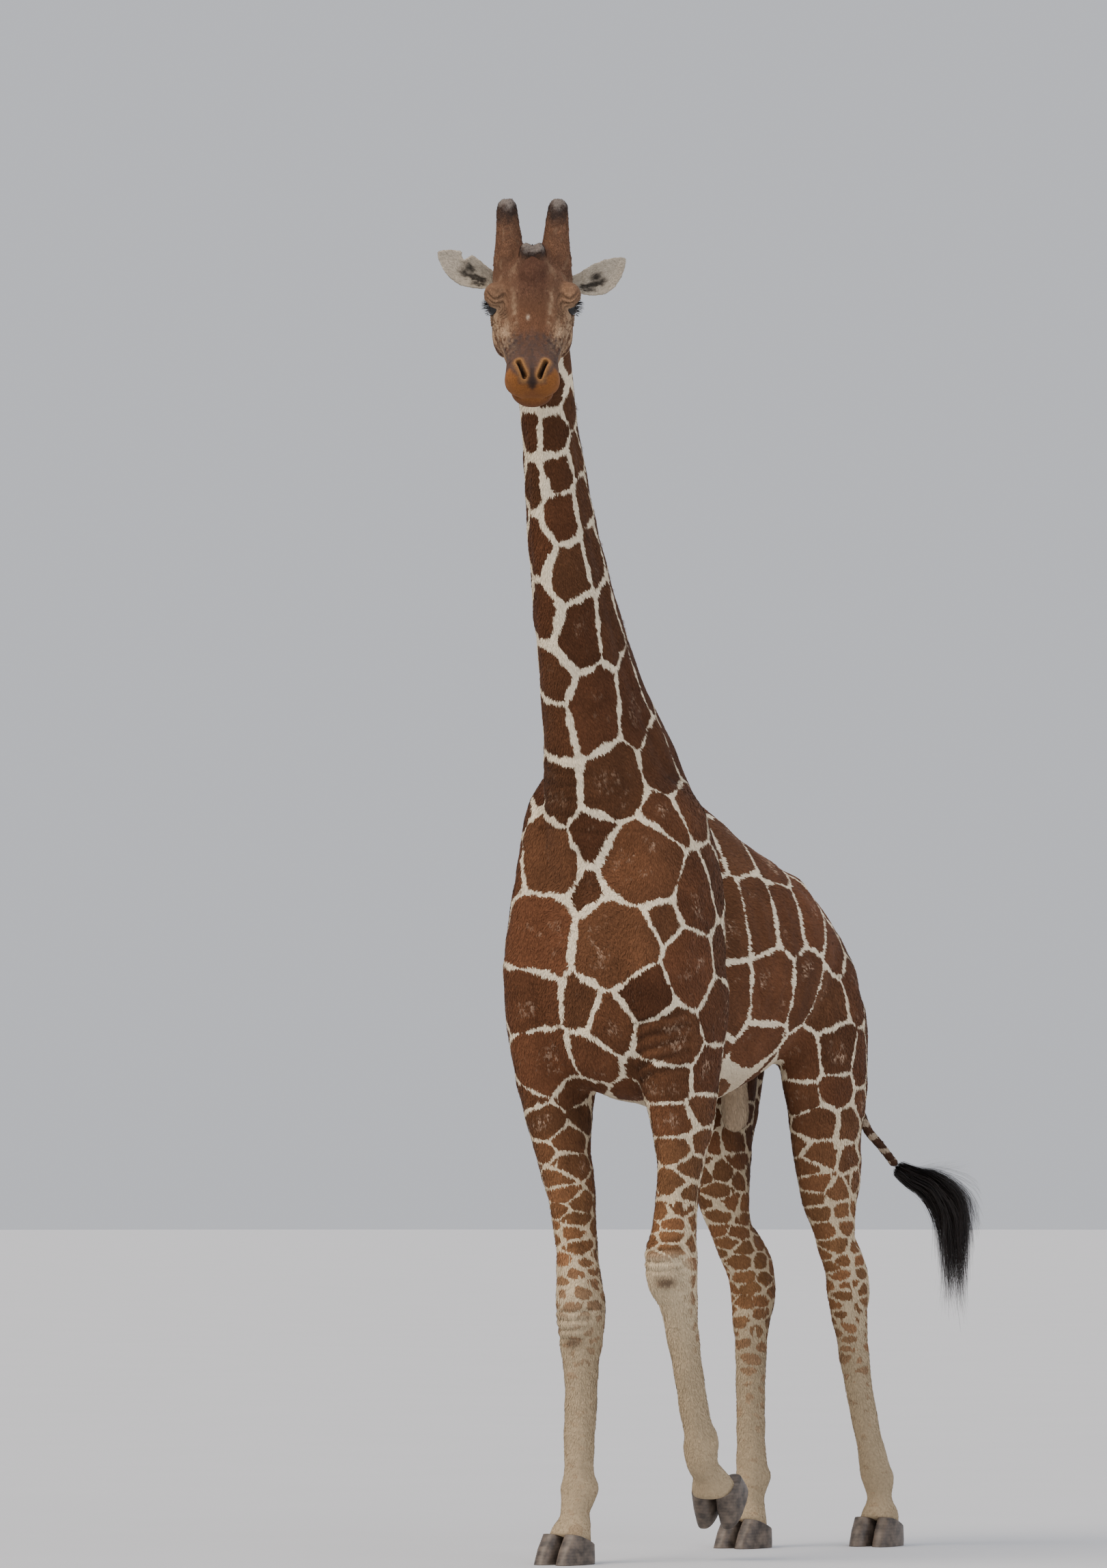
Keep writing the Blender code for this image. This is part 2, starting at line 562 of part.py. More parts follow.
def part_body(body, parts):
    """Part the welded flesh into trunk, two lengths of neck and four legs."""
    base, middle, throat = NECK_CUTS["base"], NECK_CUTS["middle"], NECK_CUTS["throat"]
    over_legs = above(LIMB_CUT_HEIGHT + GAP / 2.0)
    under_trunk = below(LIMB_CUT_HEIGHT - GAP / 2.0)
    paint(cut_piece(body, "trunk", [over_legs, past(base, -1.0)], parts), "patch")
    paint(cut_piece(body, "neck_lower", [past(base, 1.0), past(middle, -1.0)], parts), "patch")
    paint(cut_piece(body, "neck_upper", [past(middle, 1.0), past(throat, -1.0)], parts), "patch")
    for foot in FEET:
        outward = LEFT if foot.name.endswith("left") else -LEFT
        lengthwise = FORWARD if foot.name.startswith("fore") else -FORWARD
        quarter = [under_trunk, (Vector(), outward)]
        quarter.append((Vector((0.0, BEHIND_FORELEGS, 0.0)), lengthwise))
        cut = JOINT_CUTS[foot.name]
        upper = quarter + [above(cut + GAP / 2.0)]
        lower = quarter + [below(cut - GAP / 2.0), coronet(foot, 1.0)]
        paint(cut_piece(body, foot.name + "_upper_leg", upper, parts), "patch")
        paint(cut_piece(body, foot.name + "_lower_leg", lower, parts), "leg")


def build_claws(foot, parts):
    """The two claws of a foot, their soles flat, their tops cut to the coronet."""
    angle = np.linspace(0.0, 2.0 * math.pi, 14, endpoint=False)
    cosine, sine = np.cos(angle), np.sin(angle)
    power = 2.0 / 2.5
    for side, label in ((-1.0, "right"), (1.0, "left")):
        rings = []
        for height, shift, half_width, front, back in CLAW:
            across = side * CLAW_OFFSET + half_width * np.sign(cosine) * np.abs(cosine) ** power
            reach = np.where(sine > 0.0, front, back) * np.sign(sine) * np.abs(sine) ** power
            rings.append(np.stack((across, -shift - reach, np.full_like(angle, height)), axis=1))
        mesh = bmesh.new()
        skin_rings(mesh, np.array(rings))
        bmesh.ops.transform(mesh, matrix=foot.frame, verts=mesh.verts[:])
        keep(mesh, *coronet(foot, -1.0))
        bmesh.ops.triangulate(mesh, faces=mesh.faces[:])
        paint(new_object(foot.name + "_hoof_" + label, mesh, parts), "hoof")


# ---------------------------------------------------------------- the head's pieces
def build_eye(side, label, parts):
    """An eyeball set in its socket."""
    mesh = bmesh.new()
    place = HEAD_FRAME @ Matrix.Translation((EYE_ALONG, EYE_UP, side * EYE_ACROSS))
    bmesh.ops.create_uvsphere(mesh, u_segments=14, v_segments=8, radius=EYE_RADIUS, matrix=place)
    return paint(new_object("eye_" + label, mesh, parts), "eye")


def ear_surface(side, torn):
    """Grid over the hollow of one ear, in the head's frame, root to tip."""
    root, axis, length, sag = LEFT_EAR if side > 0 else RIGHT_EAR
    shape = np.array(EAR_SECTIONS)
    along = np.linspace(0.0, 1.0, 12)
    half = np.interp(along, shape[:, 0], shape[:, 1])
    cup = np.interp(along, shape[:, 0], shape[:, 2])
    across = np.linspace(-1.0, 1.0, 5)
    axis = np.array(axis) / np.linalg.norm(axis)
    face = np.array(EAR_FACE)
    face -= face.dot(axis) * axis
    face /= np.linalg.norm(face)
    rise = np.cross(axis, face)
    edge = half[:, None] * across[None, :]
    if torn:
        place, reach, depth = TORN_NOTCH
        bite = np.clip(1.5 - np.abs(along - place) / reach, 0.0, 1.0)
        edge -= depth * bite[:, None] * np.clip(across[None, :], 0.0, 1.0) ** 2
    hollow = -(cup * half)[:, None] * (1.0 - across[None, :] ** 2)
    edge -= 4.0 * sag * (along * (1.0 - along))[:, None]
    points = np.array(root) + axis * (along * length)[:, None, None]
    points = points + edge[..., None] * rise + hollow[..., None] * face
    points[..., 2] *= side
    return points


def build_ear(side, label, torn, head_cutter, parts):
    """One ear: a thin cupped shell, trimmed where it meets the head."""
    points = ear_surface(side, torn)
    mesh = bmesh.new()
    grid = [[mesh.verts.new(on_head(*point)) for point in row] for row in points]
    for i in range(len(grid) - 1):
        for j in range(len(grid[0]) - 1):
            mesh.faces.new((grid[i][j], grid[i + 1][j], grid[i + 1][j + 1], grid[i][j + 1]))
    ear = new_object("ear_" + label, mesh, parts)
    shell = ear.modifiers.new("shell", "SOLIDIFY")
    shell.thickness = EAR_SHELL
    shell.offset = 0.0
    settle(ear)
    tidy = bmesh.new()
    tidy.from_mesh(ear.data)
    bmesh.ops.recalc_face_normals(tidy, faces=tidy.faces[:])
    tidy.to_mesh(ear.data)
    tidy.free()
    return paint(subtract(ear, head_cutter), "ear")


def build_horn(name, rows, side, head_cutter, parts):
    """A horn standing on the skull, trimmed where it meets the head."""
    mesh = bmesh.new()
    add_loft(mesh, head_rows(rows, side), HEAD_ALONG, 8, 10)
    return paint(subtract(new_object(name, mesh, parts), head_cutter), "horn")


def build_mane(cutter_list, parts):
    """The short upright mane along the nape."""
    value, slope = spline(NECK, 60)
    toward, _across = path_frames(slope, FORWARD)
    start, end = (int(round(share * 59)) for share in MANE_SPAN)
    rows = []
    for i in range(start, end + 1, 3):
        share = (i - start) / (end - start)
        height = MANE_HEIGHT * min(1.0, 0.25 + 5.0 * share, 0.35 + 5.0 * (1.0 - share))
        back = value[i, 5] + height / 2.0 - 0.008
        rows.append((*(value[i, :3] - toward[i] * back), MANE_HALF_WIDTH, height / 2.0 + 0.008, height / 2.0 + 0.008, 2.0))
    mesh = bmesh.new()
    add_loft(mesh, rows, FORWARD, 20, 6)
    mane = new_object("mane", mesh, parts)
    for cutter in cutter_list:
        subtract(mane, cutter)
    return paint(mane, "mane")


def build_tail(body_cutter, parts):
    """The thin tail and the tuft blown out behind it."""
    mesh = bmesh.new()
    add_loft(mesh, TAIL, -FORWARD, 12, 8)
    tail = new_object("tail", mesh, parts)
    paint(subtract(tail, body_cutter), "patch")
    mesh = bmesh.new()
    add_loft(mesh, TAIL_TUFT, -FORWARD, 12, 10)
    tuft = new_object("tail_tuft", mesh, parts)
    paint(tuft, "tuft")


def stand_on_origin(parts):
    """Move everything so that the middle of its box on the floor is the origin."""
    points = np.concatenate([np.array([vert.co for vert in obj.data.vertices]) for obj in parts.objects])
    low, high = points.min(axis=0), points.max(axis=0)
    shift = Matrix.Translation((-(low[0] + high[0]) / 2.0, -(low[1] + high[1]) / 2.0, 0.0))
    for obj in parts.objects:
        obj.data.transform(shift)


def main():
    """Model the giraffe, piece by piece."""
    for obj in list(bpy.data.objects):
        bpy.data.objects.remove(obj)
    parts = bpy.data.collections.new("giraffe")
    cutters = bpy.data.collections.new("cutters")
    bpy.context.scene.collection.children.link(parts)
    bpy.context.scene.collection.children.link(cutters)

    body = body_flesh(cutters)
    part_body(body, parts)
    body_cutter = grown(body, GAP, cutters)
    for foot in FEET:
        build_claws(foot, parts)

    skull = head_flesh(cutters)
    head_cutter = grown(skull, GAP, cutters)
    head = paint(cut_piece(skull, "head", [past(NECK_CUTS["throat"], 1.0)], parts), "skull")
    for side, label in ((-1.0, "right"), (1.0, "left")):
        eye = build_eye(side, label, parts)
        subtract(head, grown(eye, GAP, cutters))
        build_ear(side, label, side < 0.0, head_cutter, parts)
        build_horn("horn_" + label, HORN, side, head_cutter, parts)
    build_horn("horn_median", MEDIAN_HORN, 1.0, head_cutter, parts)
    build_mane([body_cutter, head_cutter], parts)
    build_tail(body_cutter, parts)
    stand_on_origin(parts)
    for guide in cutters.objects:
        guide.hide_render = True
        guide.display_type = "WIRE"


main()
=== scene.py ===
"""Reticulated giraffe: one skin with its markings, short coat, mane, tail, eyes, horns and hooves.

The animal stands still, so every piece rides on the one body. Lengths are in metres. Shapes are
worked out in the animal's own frame, with the point of the chest over y = 0, its head towards -y
and its left towards +x, and are moved to the model's frame when they become meshes.
"""

from __future__ import annotations

import logging
import math
from contextlib import contextmanager
from dataclasses import dataclass, field
from enum import Enum
from functools import partial
from typing import Callable, Iterator, NamedTuple, Sequence

import bmesh
import bpy
import numpy as np
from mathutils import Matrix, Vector

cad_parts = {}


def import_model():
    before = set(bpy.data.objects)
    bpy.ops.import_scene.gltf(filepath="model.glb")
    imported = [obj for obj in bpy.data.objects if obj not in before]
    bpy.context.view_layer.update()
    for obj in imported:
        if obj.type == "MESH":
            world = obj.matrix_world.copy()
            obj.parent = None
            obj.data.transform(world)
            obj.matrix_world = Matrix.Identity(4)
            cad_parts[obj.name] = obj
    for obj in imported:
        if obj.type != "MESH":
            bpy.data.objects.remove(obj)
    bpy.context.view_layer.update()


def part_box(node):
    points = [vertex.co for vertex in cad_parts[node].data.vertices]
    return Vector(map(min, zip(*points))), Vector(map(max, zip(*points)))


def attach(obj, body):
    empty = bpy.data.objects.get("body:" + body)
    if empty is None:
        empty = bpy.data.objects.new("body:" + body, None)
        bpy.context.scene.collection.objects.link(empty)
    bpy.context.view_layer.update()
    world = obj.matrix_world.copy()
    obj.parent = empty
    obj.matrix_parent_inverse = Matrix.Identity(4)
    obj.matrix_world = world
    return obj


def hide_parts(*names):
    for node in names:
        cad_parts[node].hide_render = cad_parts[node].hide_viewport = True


LOG = logging.getLogger("giraffe")
Array = np.ndarray
Rows = Sequence[Sequence[float]]

BODY = "root"
SEED = 20
TAU = 2.0 * math.pi
FRONT = np.array((0.0, -1.0, 0.0))
SKY = np.array((0.0, 0.0, 1.0))

BODY_GRID = 0.012          # voxel of the body's skin
HEAD_GRID = 0.0034         # finer over the head, for lids, lips and ears
BODY_FACES = 96_000        # triangles kept on the body
HEAD_FACES = 88_000        # and on the head with its ears
JOIN_ROUNDS = 4            # rounds of softening where the limbs join
FLESH_ROUNDS = 26          # more of them from the chest up the neck
SKULL_ROUNDS = 45          # rounds of softening of the skull, before the ears are joined on
EAR_ROUNDS = 5             # and after it
THROAT_GAP = 0.007         # how far body and head stop short of the plane where they are joined
RIM_ROUNDS = 6             # rounds of softening of the bridge between them
STATIONS = 60              # points along a limb's middle line that places are measured from
SEED_SAMPLES = 22_000      # points of the skin that a patch may be centred on
COAT_DEPTH = 0.0045        # how far the skin lies under the tips of the coat
FACE_DEPTH = 0.0018        # the same on the head

# Sections of a limb: x, y, z of its middle, half width across, half depth to the front (or up),
# half depth to the back (or down), squareness (2 is an ellipse).
TRUNK = (
    (0.00, -0.025, 2.36, 0.06, 0.10, 0.10, 2.0),
    (0.00, 0.010, 2.36, 0.17, 0.30, 0.28, 2.0),
    (0.00, 0.090, 2.36, 0.28, 0.50, 0.46, 2.1),
    (0.00, 0.250, 2.36, 0.335, 0.60, 0.56, 2.1),
    (0.00, 0.500, 2.36, 0.335, 0.63, 0.60, 1.9),
    (0.00, 0.750, 2.35, 0.350, 0.620, 0.610, 1.85),
    (0.00, 1.000, 2.34, 0.370, 0.520, 0.565, 1.9),
    (0.00, 1.250, 2.34, 0.372, 0.430, 0.470, 2.0),
    (0.00, 1.500, 2.34, 0.325, 0.325, 0.370, 2.0),
    (0.00, 1.680, 2.31, 0.250, 0.215, 0.270, 2.1),
    (0.00, 1.820, 2.25, 0.150, 0.130, 0.170, 2.0),
    (0.00, 1.885, 2.22, 0.050, 0.050, 0.070, 2.0),
)
NECK = (
    (0.00, 0.560, 2.38, 0.24, 0.44, 0.36, 2.0),
    (-0.01, 0.445, 2.68, 0.285, 0.470, 0.370, 2.0),
    (-0.008, 0.290, 3.00, 0.232, 0.395, 0.345, 2.0),
    (0.004, 0.128, 3.27, 0.176, 0.298, 0.272, 2.0),
    (0.018, -0.008, 3.51, 0.147, 0.235, 0.255, 2.0),
    (0.028, -0.140, 3.84, 0.126, 0.184, 0.190, 2.1),
    (0.036, -0.246, 4.19, 0.108, 0.142, 0.140, 2.1),
    (0.042, -0.305, 4.42, 0.102, 0.124, 0.121, 2.1),
    (0.050, -0.375, 4.62, 0.106, 0.120, 0.124, 2.1),
    (0.060, -0.420, 4.76, 0.095, 0.100, 0.110, 2.0),
)
FORE_RIGHT = (
    (-0.150, 0.470, 3.04, 0.080, 0.230, 0.150, 2.0),
    (-0.198, 0.360, 2.86, 0.160, 0.305, 0.240, 2.0),
    (-0.224, 0.338, 2.68, 0.160, 0.315, 0.280, 2.0),
    (-0.246, 0.322, 2.50, 0.160, 0.320, 0.310, 2.1),
    (-0.270, 0.298, 2.26, 0.152, 0.302, 0.325, 2.1),
    (-0.272, 0.298, 2.03, 0.140, 0.272, 0.300, 2.1),
    (-0.256, 0.280, 1.83, 0.122, 0.225, 0.225, 2.1),
    (-0.230, 0.270, 1.64, 0.100, 0.165, 0.160, 2.1),
    (-0.183, 0.262, 1.43, 0.083, 0.125, 0.130, 2.1),
    (-0.148, 0.252, 1.20, 0.074, 0.102, 0.112, 2.2),
    (-0.130, 0.240, 1.04, 0.083, 0.102, 0.114, 2.4),
    (-0.125, 0.235, 0.955, 0.085, 0.107, 0.117, 2.5),
    (-0.124, 0.235, 0.87, 0.077, 0.094, 0.112, 2.4),
    (-0.120, 0.232, 0.74, 0.063, 0.074, 0.096, 2.3),
    (-0.118, 0.222, 0.56, 0.058, 0.067, 0.083, 2.3),
    (-0.116, 0.208, 0.36, 0.057, 0.065, 0.080, 2.3),
    (-0.115, 0.195, 0.23, 0.065, 0.069, 0.082, 2.3),
    (-0.115, 0.155, 0.14, 0.076, 0.072, 0.080, 2.3),
    (-0.115, 0.125, 0.05, 0.094, 0.090, 0.092, 2.3),
)
FORE_LEFT = (
    (0.130, 0.450, 3.02, 0.070, 0.200, 0.100, 2.0),
    (0.178, 0.385, 2.86, 0.142, 0.300, 0.190, 2.0),
    (0.214, 0.358, 2.68, 0.152, 0.310, 0.280, 2.0),
    (0.236, 0.338, 2.52, 0.152, 0.315, 0.310, 2.1),
    (0.258, 0.300, 2.30, 0.142, 0.305, 0.330, 2.1),
    (0.268, 0.330, 2.08, 0.134, 0.275, 0.305, 2.1),
    (0.252, 0.350, 1.88, 0.129, 0.232, 0.232, 2.1),
    (0.262, 0.350, 1.70, 0.106, 0.178, 0.172, 2.1),
    (0.262, 0.325, 1.50, 0.078, 0.120, 0.130, 2.1),
    (0.262, 0.290, 1.30, 0.076, 0.105, 0.115, 2.2),
    (0.262, 0.265, 1.175, 0.092, 0.128, 0.118, 2.4),
    (0.262, 0.275, 1.095, 0.088, 0.122, 0.110, 2.4),
    (0.264, 0.305, 1.010, 0.070, 0.085, 0.103, 2.3),
    (0.266, 0.345, 0.860, 0.058, 0.067, 0.085, 2.3),
    (0.268, 0.405, 0.660, 0.055, 0.063, 0.077, 2.3),
    (0.270, 0.455, 0.500, 0.056, 0.062, 0.075, 2.3),
    (0.270, 0.490, 0.395, 0.062, 0.066, 0.078, 2.3),
    (0.270, 0.535, 0.325, 0.074, 0.070, 0.076, 2.3),
    (0.270, 0.600, 0.255, 0.090, 0.084, 0.088, 2.3),
)
HIND_RIGHT = (
    (-0.130, 1.530, 2.53, 0.070, 0.130, 0.120, 2.0),
    (-0.175, 1.550, 2.36, 0.130, 0.260, 0.190, 2.0),
    (-0.205, 1.540, 2.12, 0.150, 0.325, 0.265, 2.1),
    (-0.205, 1.490, 1.88, 0.130, 0.290, 0.275, 2.1),
    (-0.185, 1.440, 1.66, 0.110, 0.235, 0.240, 2.1),
    (-0.160, 1.430, 1.46, 0.090, 0.180, 0.185, 2.1),
    (-0.142, 1.485, 1.26, 0.068, 0.115, 0.135, 2.2),
    (-0.132, 1.585, 1.11, 0.070, 0.106, 0.163, 2.3),
    (-0.128, 1.622, 1.02, 0.073, 0.106, 0.150, 2.4),
    (-0.126, 1.612, 0.91, 0.068, 0.092, 0.110, 2.3),
    (-0.124, 1.605, 0.76, 0.060, 0.074, 0.086, 2.3),
    (-0.122, 1.600, 0.56, 0.056, 0.067, 0.078, 2.3),
    (-0.120, 1.600, 0.36, 0.057, 0.065, 0.077, 2.3),
    (-0.120, 1.602, 0.24, 0.062, 0.068, 0.078, 2.3),
    (-0.120, 1.580, 0.15, 0.072, 0.070, 0.076, 2.3),
    (-0.120, 1.555, 0.05, 0.090, 0.086, 0.088, 2.3),
)
HIND_LEFT = (
    (0.130, 1.540, 2.53, 0.070, 0.130, 0.120, 2.0),
    (0.175, 1.560, 2.36, 0.130, 0.260, 0.185, 2.0),
    (0.212, 1.585, 2.12, 0.150, 0.320, 0.252, 2.1),
    (0.225, 1.600, 1.88, 0.132, 0.290, 0.255, 2.1),
    (0.230, 1.595, 1.66, 0.112, 0.240, 0.228, 2.1),
    (0.236, 1.600, 1.44, 0.092, 0.185, 0.205, 2.1),
    (0.240, 1.645, 1.24, 0.068, 0.115, 0.135, 2.2),
    (0.242, 1.700, 1.12, 0.064, 0.100, 0.135, 2.3),
    (0.244, 1.735, 1.02, 0.070, 0.104, 0.136, 2.4),
    (0.246, 1.750, 0.91, 0.063, 0.087, 0.105, 2.3),
    (0.248, 1.785, 0.76, 0.055, 0.067, 0.080, 2.3),
    (0.252, 1.840, 0.58, 0.052, 0.062, 0.074, 2.3),
    (0.258, 1.910, 0.38, 0.054, 0.062, 0.074, 2.3),
    (0.262, 1.960, 0.25, 0.058, 0.064, 0.074, 2.3),
    (0.266, 1.968, 0.15, 0.072, 0.070, 0.076, 2.3),
    (0.268, 1.955, 0.05, 0.090, 0.086, 0.088, 2.3),
)
SCROTUM = (
    (0.005, 1.225, 1.900, 0.048, 0.066, 0.066, 2.0),
    (0.005, 1.240, 1.800, 0.056, 0.062, 0.062, 2.0),
    (0.005, 1.245, 1.720, 0.058, 0.060, 0.060, 2.0),
    (0.005, 1.245, 1.672, 0.044, 0.046, 0.046, 2.0),
    (0.005, 1.245, 1.652, 0.016, 0.016, 0.016, 2.0),
)
TAIL = (
    (0.000, 1.820, 2.300, 0.060, 0.060, 0.060, 2.0),
    (0.008, 1.900, 2.225, 0.046, 0.044, 0.046, 2.0),
    (0.035, 1.985, 2.070, 0.034, 0.032, 0.034, 2.0),
    (0.075, 2.060, 1.870, 0.026, 0.026, 0.026, 2.0),
    (0.130, 2.123, 1.672, 0.021, 0.021, 0.021, 2.0),
    (0.170, 2.171, 1.600, 0.019, 0.019, 0.019, 2.0),
    (0.210, 2.225, 1.520, 0.019, 0.019, 0.019, 2.0),
)
TAIL_TUFT = (
    (0.215, 2.232, 1.512, 0.024, 0.024, 0.024, 2.0),
    (0.245, 2.285, 1.478, 0.036, 0.042, 0.038, 2.0),
    (0.295, 2.385, 1.430, 0.046, 0.088, 0.060, 2.0),
    (0.335, 2.455, 1.340, 0.050, 0.120, 0.070, 2.0),
    (0.350, 2.462, 1.220, 0.042, 0.080, 0.060, 2.0),
    (0.356, 2.462, 1.100, 0.034, 0.050, 0.046, 2.0),
    (0.360, 2.463, 0.985, 0.022, 0.026, 0.028, 2.0),
    (0.360, 2.463, 0.930, 0.006, 0.006, 0.006, 2.0),
)

# The head's own frame: its origin midway between the eyes, then along the nose, up over the
# brow and across to the animal's left. The skull's sections have no x.
HEAD_CENTRE = np.array((0.142, -0.590, 4.748))
HEAD_YAW = math.radians(30.0)
HEAD_DROP = math.radians(42.0)
SKULL = (
    (-0.270, -0.030, 0.050, 0.060, 0.050, 2.0),
    (-0.245, -0.020, 0.105, 0.110, 0.110, 2.0),
    (-0.190, -0.015, 0.135, 0.135, 0.160, 2.1),
    (-0.120, -0.010, 0.145, 0.150, 0.185, 2.1),
    (-0.050, -0.020, 0.150, 0.135, 0.190, 2.1),
    (0.020, -0.035, 0.146, 0.108, 0.185, 2.1),
    (0.090, -0.045, 0.136, 0.078, 0.170, 2.1),
    (0.160, -0.055, 0.118, 0.066, 0.138, 2.2),
    (0.230, -0.065, 0.099, 0.062, 0.116, 2.3),
    (0.295, -0.075, 0.100, 0.064, 0.110, 2.4),
    (0.350, -0.085, 0.098, 0.060, 0.094, 2.4),
    (0.385, -0.095, 0.064, 0.042, 0.062, 2.2),
    (0.400, -0.100, 0.025, 0.018, 0.022, 2.0),
)
# Swellings on the skull: along, up, across, then three half sizes; made on both sides.
SWELLINGS = (
    (-0.035, 0.036, 0.138, 0.064, 0.044, 0.047),
    (0.005, -0.040, 0.128, 0.080, 0.045, 0.034),
    (-0.020, -0.120, 0.100, 0.120, 0.092, 0.054),
    (0.330, -0.058, 0.044, 0.056, 0.044, 0.040),
    (-0.190, 0.085, 0.088, 0.062, 0.060, 0.062),
    (-0.120, 0.095, 0.000, 0.110, 0.066, 0.080),
    (0.300, -0.165, 0.000, 0.078, 0.052, 0.082),
)
HORN = (
    (-0.180, 0.070, 0.085, 0.066, 0.060, 0.062, 2.0),
    (-0.197, 0.110, 0.086, 0.059, 0.053, 0.055, 2.0),
    (-0.232, 0.160, 0.090, 0.050, 0.044, 0.046, 2.0),
    (-0.266, 0.204, 0.093, 0.0445, 0.039, 0.041, 2.1),
    (-0.294, 0.237, 0.096, 0.0390, 0.038, 0.039, 2.2),
    (-0.314, 0.261, 0.096, 0.033, 0.033, 0.034, 2.2),
    (-0.326, 0.275, 0.096, 0.018, 0.018, 0.018, 2.0),
)
MEDIAN_HORN = (
    (-0.125, 0.110, 0.000, 0.056, 0.040, 0.044, 2.0),
    (-0.140, 0.140, 0.000, 0.053, 0.036, 0.040, 2.0),
    (-0.153, 0.165, 0.000, 0.045, 0.028, 0.032, 2.1),
    (-0.160, 0.180, 0.000, 0.024, 0.014, 0.016, 2.0),
)
# Ears in the head's frame: root, axis towards the tip, length, how far the middle sags.
RIGHT_EAR = ((-0.195, -0.022, 0.128), (-0.085, 0.072, 0.215), 0.262, 0.012)
LEFT_EAR = ((-0.195, -0.030, 0.128), (-0.085, 0.054, 0.215), 0.250, 0.030)
EAR_FACE = (0.790, 0.590, 0.160)        # the hollow of the ear looks this way
# share of the length, half width, depth of the cup for its half width
EAR_SECTIONS = (
    (0.00, 0.036, 0.90),
    (0.15, 0.040, 0.75),
    (0.32, 0.054, 0.50),
    (0.50, 0.064, 0.34),
    (0.68, 0.059, 0.26),
    (0.84, 0.042, 0.20),
    (0.95, 0.022, 0.14),
    (1.00, 0.008, 0.10),
)
TORN_NOTCH = (0.62, 0.055, 0.030)       # place along, half length, depth from the edge
EYE_ACROSS = 0.141
EYE_RADIUS = 0.029
MANE_SPAN = (0.20, 0.97)
MANE_HEIGHT = 0.075
CLAW_OFFSET = 0.050
CLAW = (
    (0.000, 0.006, 0.047, 0.120, 0.096),
    (0.022, 0.005, 0.0475, 0.110, 0.096),
    (0.060, 0.004, 0.046, 0.092, 0.094),
    (0.100, -0.002, 0.043, 0.068, 0.088),
    (0.135, -0.006, 0.040, 0.050, 0.080),
)

# Marks on the neck: the angle of each column from the throat towards the left, and the heights
# of its patches. They get longer towards the chest.
NECK_COLUMNS = (
    (-20.0, (4.47, 4.30, 4.11, 3.87, 3.62, 3.39, 3.19, 2.97)),
    (45.0, (4.46, 4.29, 4.14, 3.99, 3.77, 3.55, 3.25, 2.98)),
    (97.0, (4.40, 4.23, 4.05, 3.86, 3.60, 3.31, 3.06)),
    (143.0, (4.48, 4.31, 4.12, 3.93, 3.70, 3.42, 3.14)),
    (-170.0, (4.40, 4.22, 4.02, 3.80, 3.54, 3.25)),
    (-123.0, (4.47, 4.31, 4.12, 3.92, 3.67, 3.38, 3.10)),
    (-72.0, (4.40, 4.21, 4.00, 3.76, 3.50, 3.24, 3.04)),
)
# Patches of the chest, shoulders and left side: x, y, z of the middle and a weight, the share
# of room that a patch takes from its neighbours.
CHEST_PATCHES = (
    (0.09, 0.00, 2.79, 0.08), (-0.14, 0.01, 2.71, 0.14), (0.06, 0.00, 2.57, 0.02),
    (0.26, 0.06, 2.68, 0.17), (-0.18, 0.01, 2.41, 0.15), (0.17, 0.00, 2.38, 0.16),
    (0.29, 0.02, 2.16, 0.11), (0.39, 0.21, 2.28, 0.15), (0.38, 0.26, 2.55, 0.14),
    (-0.23, 0.03, 2.16, 0.13), (0.01, 0.00, 2.12, 0.05), (0.13, 0.03, 2.07, 0.08),
    (0.34, 0.13, 2.01, 0.13), (-0.19, 0.09, 1.93, 0.14), (0.29, 0.16, 2.85, 0.10),
    (0.26, 0.36, 2.90, 0.12), (0.36, 0.45, 2.62, 0.12), (0.28, 0.15, 1.86, 0.09),
    (0.38, 0.37, 1.88, 0.10), (0.40, 0.38, 2.12, 0.12), (0.30, 0.56, 2.78, 0.12),
    (0.33, 0.63, 2.48, 0.14), (0.33, 0.66, 2.16, 0.13), (0.34, 0.84, 2.50, 0.15),
    (0.35, 0.92, 2.21, 0.16), (0.35, 1.06, 2.50, 0.15), (0.29, 0.92, 1.99, 0.12),
    (0.27, 0.80, 2.78, 0.12), (0.25, 1.08, 2.70, 0.11), (0.36, 1.19, 2.24, 0.13),
    (0.31, 1.27, 2.50, 0.13), (0.33, 1.40, 2.18, 0.12), (0.35, 1.46, 1.97, 0.11),
    (0.27, 1.30, 1.94, 0.10), (0.33, 1.47, 2.38, 0.11), (0.30, 1.62, 2.22, 0.10),
    (-0.33, 0.30, 2.62, 0.15), (-0.38, 0.22, 2.28, 0.14), (-0.26, 0.20, 2.90, 0.12),
    (-0.03, 0.05, 1.92, 0.10),
)
# How far apart patches are that have no place of their own, by height over the floor, on the
# body and on the legs, and how much a unit of height counts when patches meet.
BODY_SPACING = (
    (0.9, 0.12), (1.5, 0.15), (1.8, 0.20), (2.3, 0.24), (3.0, 0.22), (3.6, 0.16), (4.6, 0.11),
)
LEG_SPACING = ((0.0, 0.060), (0.8, 0.065), (1.1, 0.082), (1.4, 0.104), (1.7, 0.140), (1.95, 0.19))
HEAD_SPACING, TAIL_SPACING = 0.100, 0.07
HEIGHT_COUNTS = ((0.0, 1.90), (1.1, 2.20), (1.55, 1.90), (1.9, 1.15), (2.2, 1.00), (2.9, 0.95),
                 (3.2, 0.74), (4.7, 0.80))
MARK_CLASSES = 6
NEAR_SEEDS = 12            # seeds nearest to a point that can bound the cell it lies in
# The plane where the head's skin takes over from the body's: a point and the way up the neck.
THROAT_CUT = ((0.042, -0.312, 4.450), (0.0, -0.34, 0.94))


